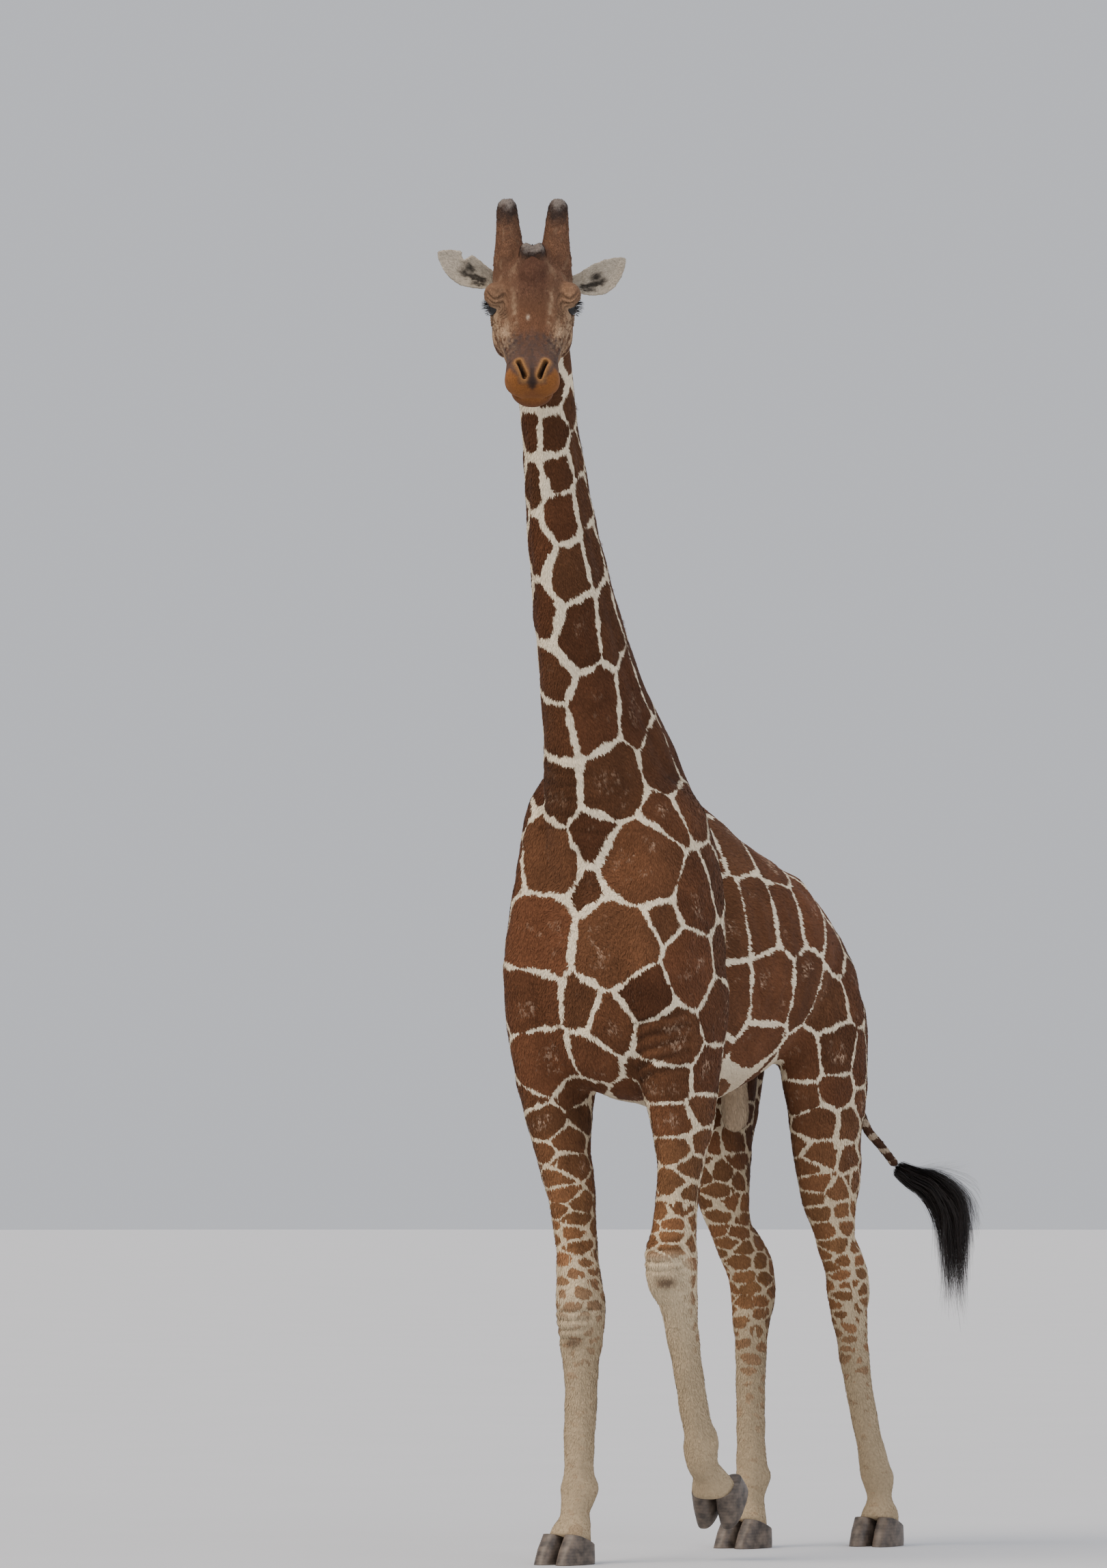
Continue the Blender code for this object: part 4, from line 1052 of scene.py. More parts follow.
def lid_folds(folded: Array) -> Array:
    """How deep a point is in the folds that run round the eye, from 0 to 1.

    Over the brow they are arcs 11 mm apart, under the eye finer ones: each is the exponential
    of minus the squared distance to its circle, cut off where its arc ends.
    """
    along, over, aside = folded.T
    reach = np.hypot(along + 0.004, over * 0.95)
    turn = np.degrees(np.arctan2(over, along))
    side = smooth_step(0.085, 0.105, aside)
    out = np.zeros(len(folded))
    for step, radius in enumerate((0.039, 0.050, 0.061, 0.072, 0.084)):
        end = 150.0 - 12.0 * step
        span = smooth_step(-4.0, 18.0, turn) * smooth_step(end, end - 30.0, turn)
        out = np.maximum(
            out, span * np.exp(-(((reach - radius - 0.003 * np.sin(turn / 17.0)) / 0.0030) ** 2))
        )
    for step, radius in enumerate((0.040, 0.050, 0.060, 0.071)):
        span = smooth_step(-8.0, -26.0, turn) * smooth_step(-150.0 + 10 * step, -120.0, turn)
        out = np.maximum(out, 0.75 * span * np.exp(-(((reach - radius) / 0.0032) ** 2)))
    return out * side


def wrinkles(folded: Array) -> Array:
    """The net of creases on cheeks and under the eyes: grooves where a noise crosses zero."""
    along, over, aside = folded.T
    cheek = smooth_step(-0.02, 0.05, along) * smooth_step(0.27, 0.20, along)
    cheek *= smooth_step(0.030, -0.015, over) * smooth_step(0.045, 0.080, aside)
    field = ripple(folded * (1.0, 0.60, 1.0), 0.034, 8) + 0.4 * ripple(folded, 0.016, 9)
    return cheek * 0.0042 * (smooth_step(0.0, 0.40, np.abs(field)) - 0.72)


# Folds and edges of the face: along, up and the distance from the midline; width, height.
FACE_RELIEFS = (
    Relief(((0.290, -0.040, 0.082), (0.335, -0.070, 0.068), (0.385, -0.075, 0.034)), 0.006,
           -0.0045),
    Relief(((0.390, -0.055, 0.0),), 0.016, 0.004),
    Relief(((0.300, 0.0, 0.0), (0.385, -0.030, 0.0)), 0.010, -0.003),
    Relief(MOUTH, 0.0055, -0.0085),
    Relief(((0.375, -0.118, 0.05), (0.31, -0.115, 0.088)), 0.034, 0.007),
    Relief(((0.040, 0.000, 0.120), (0.150, -0.022, 0.104), (0.230, -0.042, 0.088)), 0.015, 0.006),
    Relief(((0.100, 0.045, 0.050), (0.220, 0.005, 0.050)), 0.022, -0.004),
    Relief(((-0.075, 0.120, 0.030), (0.010, 0.085, 0.034)), 0.006, 0.0022),
    Relief(((0.02, -0.085, 0.125), (0.09, -0.10, 0.115), (0.17, -0.085, 0.10)), 0.020, -0.005),
    Relief(((-0.10, -0.02, 0.15), (-0.11, -0.12, 0.14), (-0.05, -0.20, 0.10)), 0.018, -0.008),
    Relief(((-0.06, 0.085, 0.105), (-0.01, 0.070, 0.105)), 0.020, -0.004),
    Relief(((-0.128, 0.118, 0.056), (-0.06, 0.100, 0.062), (0.010, 0.075, 0.056)), 0.008, -0.005),
)


@dataclass
class HeadSkin:
    """Skull, muzzle, lids and ears in one skin, with the top of the neck."""

    voxel: float = HEAD_GRID
    faces: int = HEAD_FACES
    neck_from: float = 4.36        # the part of the neck made with the head starts here
    poll: tuple = (0.060, -0.415, 4.752)   # the swelling where the neck meets the skull
    lid: float = 0.0030            # how far the lids stand over the ball
    lid_half: tuple = (0.0290, 0.0200)   # half length and half height of the open eye

    def flesh(self) -> Surface:
        """Skull, swellings, the roots of the horns and the top of the neck, overlapping."""
        skull = in_head([(*row[:2], 0.0, *row[2:]) for row in SKULL])
        parts = [loft(skull, HEAD.axes[1], 170, 130)]
        neck = LIMBS["neck"].level(np.linspace(self.neck_from, 4.75, 7))
        parts.append(loft(neck, FRONT, 60, 110))
        parts.append(ball(np.array(self.poll), np.eye(3), (0.086, 0.098, 0.085)))
        for along, over, across, length, height, width in SWELLINGS:
            for side in (-1.0, 1.0) if across else (1.0,):
                spot = HEAD.place((along, over, side * across))
                parts.append(ball(spot, HEAD.axes, (length, height, width)))
        for side in (-1.0, 1.0):
            root = in_head(((-0.150, 0.020, 0.075, 0.080, 0.085, 0.085, 2.0), *HORN[1:4]), side)
            parts.append(loft(root, HEAD.axes[0], 40, 60))
            saddle = HEAD.place((-0.186, 0.104, side * 0.046))
            parts.append(ball(saddle, HEAD.axes, (0.050, 0.054, 0.046)))
        return join(parts)

    def ears(self) -> Surface:
        """Both ears as thin shells."""
        leaves = [shell(ear_grid(side), 0.0078) for side in (-1.0, 1.0)]
        return join([Surface(HEAD.place(leaf.points), leaf.quads, leaf.tris) for leaf in leaves])

    def build(self) -> bpy.types.Object:
        """Melt, mould and thin the head."""
        obj = soften(melt(new_object("head_skin", self.flesh()), self.voxel), SKULL_ROUNDS)
        leaves = new_object("ear_skin", self.ears())
        with editing(obj) as mesh:
            mesh.from_mesh(leaves.data)
        bpy.data.objects.remove(leaves)
        soften(melt(obj, self.voxel), EAR_ROUNDS)
        points, normals = read_points(obj)
        folded = HEAD.local(points)
        ear = np.abs(folded[:, 2]) > 0.19
        folded[:, 2] = np.abs(folded[:, 2])
        rise = np.full(len(points), -FACE_DEPTH)
        for relief in FACE_RELIEFS:
            rise += relief.rise(folded)
        slit = nostril_gap(folded)
        rise += 0.0065 * np.exp(-((slit / 0.021) ** 2)) - 0.034 * np.exp(-((slit / 0.0085) ** 4))
        rise += wrinkles(folded) - 0.0062 * lid_folds(folded)
        rise[ear] = 0.0
        points = points + normals * rise[:, None]
        write_points(obj, self.lids(points))
        thin_out(obj, self.faces)
        return obj

    def lids(self, points: Array) -> Array:
        """Wrap the lids over each eyeball and open them.

        Near an eye, a point's distance from the ball's centre becomes the ball's radius plus the
        lid outside an almond, with a raised rim, and less than the radius inside it.

        Args:
            points: The head's points.

        Returns:
            The points with the lids moulded.
        """
        local = HEAD.local(points)
        for side in (-1.0, 1.0):
            centre = np.array((0.0, 0.0, side * EYE_ACROSS))
            away = local - centre
            distance = np.linalg.norm(away, axis=1)
            outward = away[:, 2] * side
            near = (distance < 0.060) & (outward > -0.010)
            along, over = away[near, 0], away[near, 1]
            tilt = over + 0.16 * along
            half_length, half_height = self.lid_half
            span = np.clip(1.0 - (along / half_length) ** 2, 0.0, 1.0)
            open_by = np.sqrt(span) * half_height
            upper = np.where(tilt > 0.0, open_by * 1.05, open_by * 0.95)
            gap = np.abs(tilt) - upper
            gap = np.where(
                np.abs(along) > half_length, np.hypot(np.abs(along) - half_length, tilt), gap
            )
            ball_side = EYE_RADIUS + self.lid + 0.0022 * np.exp(-(((gap - 0.003) / 0.0035) ** 2))
            wanted = np.where(gap > 0.0, ball_side, EYE_RADIUS - 0.006)
            hold = (
                smooth_step(0.056, 0.036, distance[near])
                * smooth_step(-0.006, 0.006, outward[near])
            )
            blend = np.where(gap > 0.0, hold * smooth_step(0.026, 0.010, gap), hold)
            reach = distance[near] * (1.0 - blend) + wanted * blend
            local[near] = centre + away[near] / distance[near][:, None] * reach[:, None]
        return HEAD.place(local)


@dataclass
class Hide:
    """The whole skin: body and head bridged into one closed surface."""

    obj: bpy.types.Object
    points: Array = field(init=False)
    normals: Array = field(init=False)

    def __post_init__(self) -> None:
        """Read the finished surface."""
        self.points, self.normals = read_points(self.obj)


def open_at(obj: bpy.types.Object, point: Array, normal: Array) -> None:
    """Cut a skin with a plane and keep the side that the normal points to, open."""
    with editing(obj) as mesh:
        geom = [*mesh.verts, *mesh.edges, *mesh.faces]
        cut_mesh(mesh, geom, (point, normal), clear_inner=True)


def bridge_skins(body: bpy.types.Object, head: bpy.types.Object) -> bpy.types.Object:
    """Join body and head at the throat.

    Each is cut a little short of the plane, and the two rims are bridged and softened.

    Args:
        body: The body's skin.
        head: The head's skin.

    Returns:
        The joined skin, under the name of the hide.
    """
    point, normal = np.array(THROAT_CUT[0]), unit(np.array(THROAT_CUT[1]))
    open_at(body, point - normal * THROAT_GAP, -normal)
    open_at(head, point + normal * THROAT_GAP, normal)
    mesh = bmesh.new()
    mesh.from_mesh(body.data)
    mesh.from_mesh(head.data)
    bmesh.ops.remove_doubles(mesh, verts=[v for v in mesh.verts if v.is_boundary], dist=0.0015)
    rims = [edge for edge in mesh.edges if edge.is_boundary]
    bmesh.ops.bridge_loops(mesh, edges=rims)
    split_faces(mesh, 3)
    near = [v for v in mesh.verts if abs((v.co - Vector(point)).dot(Vector(normal))) < 0.03
            and (v.co - Vector(point)).length < 0.3]
    for _round in range(RIM_ROUNDS):
        bmesh.ops.smooth_vert(mesh, verts=near, factor=0.5, use_axis_x=True, use_axis_y=True,
                              use_axis_z=True)
    bmesh.ops.recalc_face_normals(mesh, faces=mesh.faces[:])
    still_open = sum(1 for edge in mesh.edges if not edge.is_manifold)
    data = bpy.data.meshes.new("hide")
    mesh.to_mesh(data)
    mesh.free()
    for source in (body, head):
        bpy.data.objects.remove(source)
    data.polygons.foreach_set("use_smooth", np.ones(len(data.polygons), dtype=bool))
    obj = bpy.data.objects.new("hide", data)
    bpy.context.scene.collection.objects.link(obj)
    LOG.info("hide: %d triangles, %d open edges", len(data.polygons), still_open)
    return obj


# ------------------------------------------------------------------ where a point of the skin is
class Region(Enum):
    """Parts of the skin, in the order of LIMBS, and the head."""

    TRUNK = 0
    NECK = 1
    FORE_RIGHT = 2
    FORE_LEFT = 3
    HIND_RIGHT = 4
    HIND_LEFT = 5
    SCROTUM = 6
    TAIL = 7
    HEAD = 8


def above_throat(points: Array) -> Array:
    """How far points lie above the plane of the throat, up the neck."""
    return (points - THROAT_CUT[0]) @ unit(np.array(THROAT_CUT[1]))


LEGS = (Region.FORE_RIGHT, Region.FORE_LEFT, Region.HIND_RIGHT, Region.HIND_LEFT)


class Places(NamedTuple):
    """For each point: its region, share along the limb, angle round it and the hair's lie."""

    region: Array
    along: Array
    angle: Array
    lie: Array
    local: Array

    def on(self, *regions: Region) -> Array:
        """Whether each point is on one of some regions."""
        return np.isin(self.region, [region.value for region in regions])


def stretches(count: int, size: int) -> Iterator[slice]:
    """Slices that cover a count of rows, so that a table of distances stays small."""
    return (slice(start, start + size) for start in range(0, count, size))


def find_places(points: Array) -> Places:
    """Find the limb that each point belongs to.

    The limb is the one whose middle line is nearest, measured in its own half widths. The angle
    is taken round the path, from its front; the hair lies along the path.

    Args:
        points: Points on the skin.

    Returns:
        The places of the points.
    """
    count = len(points)
    best = np.full(count, np.inf)
    region = np.zeros(count, dtype=int)
    along, angle = np.zeros(count), np.zeros(count)
    lie = np.zeros((count, 3))
    for number, limb in enumerate(LIMBS.values()):
        value, slope = spline(limb.rows, STATIONS)
        tangent, toward, across = path_axes(slope, limb.front)
        for some in stretches(count, 20_000):
            apart = points[some, None, :] - value[None, :, :3]
            gap = np.linalg.norm(apart, axis=2)
            index = (gap - 0.5 * value[None, :, 3]).argmin(axis=1)
            rows = np.arange(len(index))
            step = apart[rows, index]
            side = (step * across[index]).sum(1)
            depth = (step * toward[index]).sum(1)
            reach = np.where(depth > 0.0, value[index, 4], value[index, 5])
            score = np.hypot(side / value[index, 3], depth / reach)
            score += np.abs((step * tangent[index]).sum(1)) / value[index, 3]
            better = score < best[some]
            for store, new in (
                (best, score), (region, number), (along, index / (STATIONS - 1.0)),
                (angle, np.arctan2(side, depth)), (lie, tangent[index] * limb.hair),
            ):
                store[some][better] = new[better] if isinstance(new, np.ndarray) else new
    local = HEAD.local(points)
    cut = above_throat(points)
    on_head = (cut > 0.0) & ((local[:, 0] > -0.14) | (local[:, 1] > -0.06) | (cut > 0.22))
    region[on_head] = Region.HEAD.value
    back = HEAD.axes[0] * -1.0 + HEAD.axes[1] * 0.10
    lie[on_head] = back
    ear = np.abs(local[:, 2]) > 0.165
    ear &= on_head
    for side in (-1.0, 1.0):
        lie[ear & (local[:, 2] * side > 0)] = (ear_of(side).axis * (1.0, 1.0, side)) @ HEAD.axes
    along[on_head] = np.clip((local[on_head, 0] + 0.3) / 0.7, 0.0, 1.0)
    angle[on_head] = np.arctan2(local[on_head, 2], local[on_head, 1] + 0.04)
    on_trunk = region == Region.TRUNK.value
    lie[on_trunk] += (0.0, 0.0, -0.45)
    return Places(region, along, angle, unit(lie), local)


def unwrap(places: Places) -> Array:
    """An unwrap of the skin by limb: each limb's angle and length fill a tile of the map."""
    column = places.region % 3
    row = places.region // 3
    u = (column + 0.04 + 0.92 * (places.angle / TAU + 0.5)) / 3.0
    v = (row + 0.04 + 0.92 * places.along) / 3.0
    return np.stack((u, v), axis=-1)


# ------------------------------------------------------------------ markings
@dataclass
class Markings:
    """The net of pale lines and dark patches.

    Patches are the cells of a weighted nearest-seed pattern. Every seed has one of a few
    classes, neighbours never the same, and a point stores for each class how far inside the
    nearest cell of that class it lies, less half the width of the pale line there.
    """

    seeds: Array = field(default_factory=lambda: np.zeros((0, 4)))
    tints: Array = field(default_factory=lambda: np.zeros((0, 3)))
    classes: Array = field(default_factory=lambda: np.zeros(0, dtype=int))

    @staticmethod
    def stretched(points: Array) -> Array:
        """Points with heights counted by HEIGHT_COUNTS, so that patches are tall on the neck."""
        heights = np.linspace(-0.1, 5.4, 400)
        steps = read_off(HEIGHT_COUNTS, heights)[1:] * np.diff(heights)
        grown = np.concatenate(([0.0], np.cumsum(steps)))
        out = np.array(points, dtype=float)
        out[:, 2] = np.interp(points[:, 2], heights, grown)
        return out

    def sow(self, points: Array, places: Places) -> None:
        """Set the named seeds, then fill the rest of the skin with even spacing."""
        rng = np.random.default_rng(SEED)
        named = [np.array(CHEST_PATCHES)]
        for degrees, heights in NECK_COLUMNS:
            level = np.array(heights)
            spots = LIMBS["neck"].around(level, np.full(len(level), degrees))
            weight = np.interp(level, (3.1, 4.5), (0.13, 0.055))
            named.append(np.concatenate((spots, weight[:, None]), axis=1))
        named = np.concatenate(named)
        order = rng.permutation(len(points))[:SEED_SAMPLES]
        spots = points[order]
        height = spots[:, 2]
        legs = places.on(*LEGS)[order]
        gap = np.where(legs, read_off(LEG_SPACING, height), read_off(BODY_SPACING, height))
        gap = np.where(places.on(Region.HEAD)[order], HEAD_SPACING, gap)
        gap = np.where(places.on(Region.TAIL)[order], TAIL_SPACING, gap)
        flat = self.stretched(spots)
        fixed = self.stretched(named[:, :3])
        away = np.full(len(spots), np.inf)
        for seed in fixed:
            away = np.minimum(away, np.linalg.norm(flat - seed, axis=1) / np.where(legs, 1.0, 1.30))
        grown = []
        for i in range(len(spots)):
            if away[i] > gap[i]:
                grown.append(i)
                away = np.minimum(away, np.linalg.norm(flat - flat[i], axis=1))
        grown = self.even_out(flat, np.array(grown), fixed)
        added = np.concatenate((spots[grown], 0.45 * gap[grown, None]), axis=1)
        seeds = np.concatenate((named, added))
        self.seeds = np.concatenate((self.stretched(seeds[:, :3]), seeds[:, 3:] ** 2), axis=1)
        self.classes = self.share_out(self.seeds[:, :3])
        self.tints = self.tones(seeds[:, :3], rng)
        LOG.info("markings: %d patches", len(seeds))

    @staticmethod
    def even_out(flat: Array, grown: Array, fixed: Array, rounds: int = 3) -> Array:
        """Move each free seed to the middle of its cell, a few times.

        Args:
            flat: Sample points of the skin.
            grown: Which of them are seeds.
            fixed: Seeds that stay.
            rounds: Number of times.

        Returns:
            Which sample points are the seeds now.
        """
        for _round in range(rounds):
            seeds = np.concatenate((fixed, flat[grown]))
            owner = np.concatenate([
                ((flat[some, None] - seeds[None]) ** 2).sum(axis=2).argmin(axis=1)
                for some in stretches(len(flat), 2_000)
            ])
            count = np.bincount(owner, minlength=len(seeds)).clip(1)
            middle = np.stack(
                [np.bincount(owner, flat[:, axis], len(seeds)) / count for axis in range(3)], -1
            )
            grown = np.array([
                int(((flat - spot) ** 2).sum(axis=1).argmin()) for spot in middle[len(fixed):]
            ])
            grown = np.unique(grown)
        return grown

    @staticmethod
    def share_out(seeds: Array) -> Array:
        """Give each seed the class that its near neighbours use least and farthest away."""
        classes = np.full(len(seeds), -1)
        for i in range(len(seeds)):
            apart = np.linalg.norm(seeds - seeds[i], axis=1)
            apart[i] = np.inf
            room = [
                apart[classes == k].min() if (classes == k).any() else np.inf
                for k in range(MARK_CLASSES)
            ]
            classes[i] = int(np.argmax(np.round(room, 4)))
        return classes

    @staticmethod
    def tones(spots: Array, rng: np.random.Generator) -> Array:
        """The brown of each patch: darker on the neck and chest, more tan down the legs."""
        height = spots[:, 2]
        dark, mid, tan = tint("563724"), tint("613F2A"), tint("805B3C")
        leg = smooth_step(1.95, 0.95, height)[:, None]
        up = smooth_step(2.7, 3.2, height)[:, None]
        base = (mid * (1 - up) + dark * up) * (1 - leg) + tan * leg
        base = base * rng.uniform(0.84, 1.14, (len(spots), 1))
        base[:, 0] *= rng.uniform(0.96, 1.05, len(spots))
        deep = np.array([(0.09, 0.0, 2.77), (0.066, 0.0, 2.58), (0.28, 0.02, 2.16),
                         (-0.03, -0.08, 2.95)])
        for spot in deep:
            base[np.linalg.norm(spots - spot, axis=1) < 0.08] *= 0.72
        return base

    def line_width(self, points: Array, places: Places) -> Array:
        """Half the width of the pale lines: wide on the throat, wider where the spots fade."""
        height = points[:, 2]
        front = 0.5 + 0.5 * np.cos(places.angle)
        neck = places.on(Region.NECK)
        width = np.full(len(points), 0.0095)
        width[neck] = 0.0055 + 0.0070 * front[neck] ** 2
        chest = smooth_step(0.30, -0.05, points[:, 1]) * smooth_step(1.8, 2.2, height)
        width = np.where(neck, width, width + 0.0035 * chest)
        legs = places.on(*LEGS)
        fade = leg_fade(points, places)
        width[legs] = 0.0075 + 0.020 * fade[legs]
        inner = np.where(points[:, 0] > 0.0, -1.0, 1.0) * np.sin(places.angle)
        width[legs] += (
            0.006 * smooth_step(0.2, 0.8, inner[legs]) * smooth_step(2.0, 1.6, height[legs])
        )
        width += 0.05 * belly_share(points, places)
        width[places.on(Region.SCROTUM)] = 0.2
        width[places.on(Region.TAIL)] = 0.014
        return width

    def fields(self, points: Array, places: Places) -> tuple[Array, Array]:
        """How far inside a patch of each class every point lies, and its patch's brown.

        For seed k and any other o the value is (|p - o|^2 - w_o - |p - k|^2 + w_k) over
        2 |o - k|, the least over o; k is the nearest seed of the class.

        Args:
            points: Points on the skin.
            places: Their places.

        Returns:
            One value per class, and a colour.
        """
        flat = self.stretched(points)
        half = self.line_width(points, places)
        out = np.full((len(points), MARK_CLASSES), -0.1)
        colour = np.zeros((len(points), 3))
        spots, weight = self.seeds[:, :3], self.seeds[:, 3]
        between = np.linalg.norm(spots[:, None] - spots[None], axis=2)
        np.fill_diagonal(between, np.inf)
        for some in stretches(len(points), 4_000):
            power = ((flat[some, None] - spots[None]) ** 2).sum(axis=2) - weight[None]
            rows = np.arange(power.shape[0])
            near = np.argpartition(power, NEAR_SEEDS, axis=1)[:, :NEAR_SEEDS]
            near_power = np.take_along_axis(power, near, axis=1)
            colour[some] = self.tints[power.argmin(axis=1)]
            for kind in range(MARK_CLASSES):
                members = np.flatnonzero(self.classes == kind)
                if not len(members):
                    continue
                own = members[power[:, members].argmin(axis=1)]
                own_power = power[rows, own]
                inside = (near_power - own_power[:, None]) / (2.0 * between[own[:, None], near])
                inside[near == own[:, None]] = np.inf
                out[some, kind] = inside.min(axis=1) - half[some]
        return np.clip(out, -0.1, 0.1), colour


def leg_fade(points: Array, places: Places) -> Array:
    """How far the spots of the legs have faded: from the knee down, lower on the hind legs."""
    hind = places.on(Region.HIND_RIGHT, Region.HIND_LEFT)
    return smooth_step(1.25, 0.55, points[:, 2] + 0.22 * hind)


def belly_share(points: Array, places: Places) -> Array:
    """How far a point of the trunk is on the underside, behind the chest and off the flanks."""
    under = smooth_step(0.80, 0.96, -np.cos(places.angle)) * places.on(Region.TRUNK)
    return under * smooth_step(0.22, 0.45, points[:, 1]) * smooth_step(2.02, 1.90, points[:, 2])


@dataclass(frozen=True)
class Tones:
    """Colours of hair and bare skin; chin, shank and belly are made darker as painted shade in
    part.
    """

    cream: str = "E6D8BD"
    leg_cream: str = "CDBA9A"
    shank: str = "A99679"
    belly: str = "BDAC93"
    crown: str = "4A3127"
    forehead: str = "664A39"
    bridge: str = "664632"
    grizzle: str = "463A36"
    muzzle: str = "85552C"
    rim: str = "9E7142"
    chin: str = "5E3B28"
    septum: str = "24201F"
    nostril: str = "1A1412"
    cheek: str = "A78C70"
    cheek_brown: str = "54382A"
    brow: str = "8C6C52"
    eyelid: str = "241A16"
    ear_front: str = "B8AD9B"
    ear_streak: str = "241F1C"
    ear_back: str = "A3886F"
    callus: str = "4A3427"


TONES = Tones()


def lay(base: Array, code: str, share: Array) -> Array:
    """Mix a colour over others by a share for each point."""
    return base * (1.0 - share[:, None]) + tint(code) * share[:, None]


def bump_at(local: Array, centre: Sequence[float], size: Sequence[float]) -> Array:
    """A soft spot: exp of minus the squared distance, each axis by its own size."""
    return np.exp(-(((local - np.array(centre)) / np.array(size)) ** 2).sum(axis=1))


def face_colours(local: Array) -> Array:
    """The colours of the head by place: along, up, and the distance from the midline, with painted
    shade in its grooves and folds and under the jaw.
    """
    along, over = local[:, 0], local[:, 1]
    aside = np.abs(local[:, 2])
    folded = np.stack((along, over, aside), axis=-1)
    colour = np.tile(tint(TONES.forehead), (len(local), 1))
    colour = lay(colour, TONES.bridge, smooth_step(-0.02, 0.10, along) * 0.8)
    mottle = ripple(folded, 0.05, 12)
    fine = ripple(folded, 0.018, 13)
    core = smooth_step(0.062, 0.040, aside + 0.004 * fine) * smooth_step(0.06, -0.03, along)
    colour = lay(colour, TONES.crown, core * (0.65 + 0.15 * fine))
    # Painted shade: the groove from the horn's root along the forehead darkened.
    seam_shade = to_path(folded, np.array([(-0.128, 0.118, 0.056), (-0.06, 0.100, 0.062),
                                     (0.010, 0.075, 0.056)]))
    colour = lay(colour, TONES.crown, np.exp(-((seam_shade / 0.006) ** 2)) * 0.75)
    frost = smooth_step(0.2, 0.8, mottle + 0.5 * fine) * smooth_step(0.035, 0.070, aside)
    colour = lay(colour, TONES.cheek, frost * 0.28 * smooth_step(0.10, -0.02, along))
    side = smooth_step(0.060, 0.095, aside + 0.25 * np.clip(-over, -0.05, 0.2))
    cheek = side * smooth_step(-0.16, -0.04, along) * smooth_step(0.29, 0.22, along)
    cheek *= smooth_step(0.035, -0.01, over)
    blotch = smooth_step(-0.1, 0.5, mottle + 0.45 * fine)
    stripe = smooth_step(0.15, 0.6, ripple(folded * (0.45, 1.0, 1.0), 0.016, 14))
    colour = lay(colour, TONES.cheek,
                 cheek * np.clip(0.70 - 0.45 * blotch + 0.35 * stripe, 0.0, 1.0))
    low = cheek * smooth_step(-0.07, -0.12, over)
    colour = lay(colour, TONES.cheek_brown, low * blotch * 0.95)
    flank = bump_at(folded, (0.045, 0.055, 0.070), (0.045, 0.040, 0.011))
    flank += bump_at(folded, (0.120, 0.030, 0.064), (0.040, 0.030, 0.009)) * 0.8
    flank += bump_at(folded, (0.225, -0.012, 0.068), (0.045, 0.030, 0.012))
    colour = lay(colour, TONES.cheek, np.clip(flank * (0.6 + 0.5 * fine), 0.0, 0.75))
    brow = bump_at(folded, (0.0, 0.050, 0.135), (0.075, 0.050, 0.040))
    colour = lay(colour, TONES.brow, np.clip(brow * 0.9, 0.0, 1.0))
    round_eye = bump_at(folded, (0.0, 0.0, EYE_ACROSS), (0.060, 0.045, 0.050))
    colour = lay(colour, TONES.cheek, np.clip(round_eye, 0.0, 1.0) * 0.7)
    grizzle = smooth_step(0.135, 0.215, along + 0.014 * fine) * smooth_step(-0.080, -0.045, over)
    colour = lay(colour, TONES.grizzle, np.clip(grizzle * (0.80 + 0.20 * fine), 0.0, 1.0))
    muzzle = (
        smooth_step(-0.062, -0.080, over - 0.30 * (along - 0.36))
        * smooth_step(0.225, 0.275, along)
    )
    muzzle = np.maximum(muzzle, smooth_step(0.045, 0.060, aside) * smooth_step(0.315, 0.335, along)
                        * smooth_step(-0.030, -0.045, over))
    colour = lay(colour, TONES.muzzle, muzzle)
    slit = nostril_gap(folded)
    pad = np.exp(-((slit / 0.0205) ** 4))
    colour = lay(colour, TONES.rim, np.clip(pad, 0.0, 1.0))
    # The chin's red-brown is its own; laid this dark under the jaw, which is turned from the light,
    # it is also painted shade.
    chin = smooth_step(-0.135, -0.185, over) * smooth_step(0.20, 0.26, along)
    colour = lay(colour, TONES.chin, chin * 0.85)
    redder = bump_at(folded, (0.400, -0.110, 0.0), (0.040, 0.035, 0.045))
    colour = lay(colour, TONES.chin, redder * 0.45)
    septum = np.exp(-(np.hypot((over + 0.052 + 0.004 * fine) / 0.030,
                               aside / (0.0165 + 0.002 * fine)) ** 4))
    septum = septum * smooth_step(0.33, 0.35, along)
    colour = lay(colour, TONES.septum, np.clip(septum, 0.0, 1.0) * 0.95)
    # Painted shade: the groove at the lower edge of the nose pad darkened with the septum's near
    # black.
    lip_groove_shade = to_path(
        folded, np.array([(0.290, -0.040, 0.084), (0.335, -0.072, 0.069), (0.385, -0.078, 0.034)])
    )
    colour = lay(colour, TONES.septum, np.exp(-((lip_groove_shade / 0.0045) ** 2)) * 0.8)
    colour = lay(colour, TONES.nostril, np.exp(-((slit / 0.0105) ** 6)))
    # Painted shade: the mouth's groove between the lips darkened with the septum's near black.
    colour = lay(colour, TONES.septum, np.exp(-((to_path(folded, MOUTH) / 0.0050) ** 2)) * 0.85)
    eye = np.linalg.norm((folded - (0.0, 0.0, EYE_ACROSS + 0.024)) / (0.036, 0.026, 0.05), axis=1)
    colour = lay(colour, TONES.eyelid, smooth_step(1.15, 0.85, eye) * 0.95)
    tear = np.exp(-((to_path(folded, np.array([(0.026, -0.006, 0.155), (0.050, -0.026, 0.142)]))
                     / 0.005) ** 2))
    colour = lay(colour, TONES.eyelid, tear * 0.8)
    # Painted shade: the folds round the eye darkened with the lid's black.
    colour = lay(colour, TONES.eyelid, lid_folds(folded) * 0.62)
    # Painted shade: the cheeks' wrinkle creases darkened.
    crease_shade = smooth_step(0.0010, -0.0026, wrinkles(folded))
    colour = lay(colour, TONES.cheek_brown, crease_shade * 0.75)
    colour = lay(colour, "C4B29C",
                 bump_at(local, (0.099, 0.034, -0.017), (0.0085, 0.02, 0.0055)) * 0.9)
    return colour


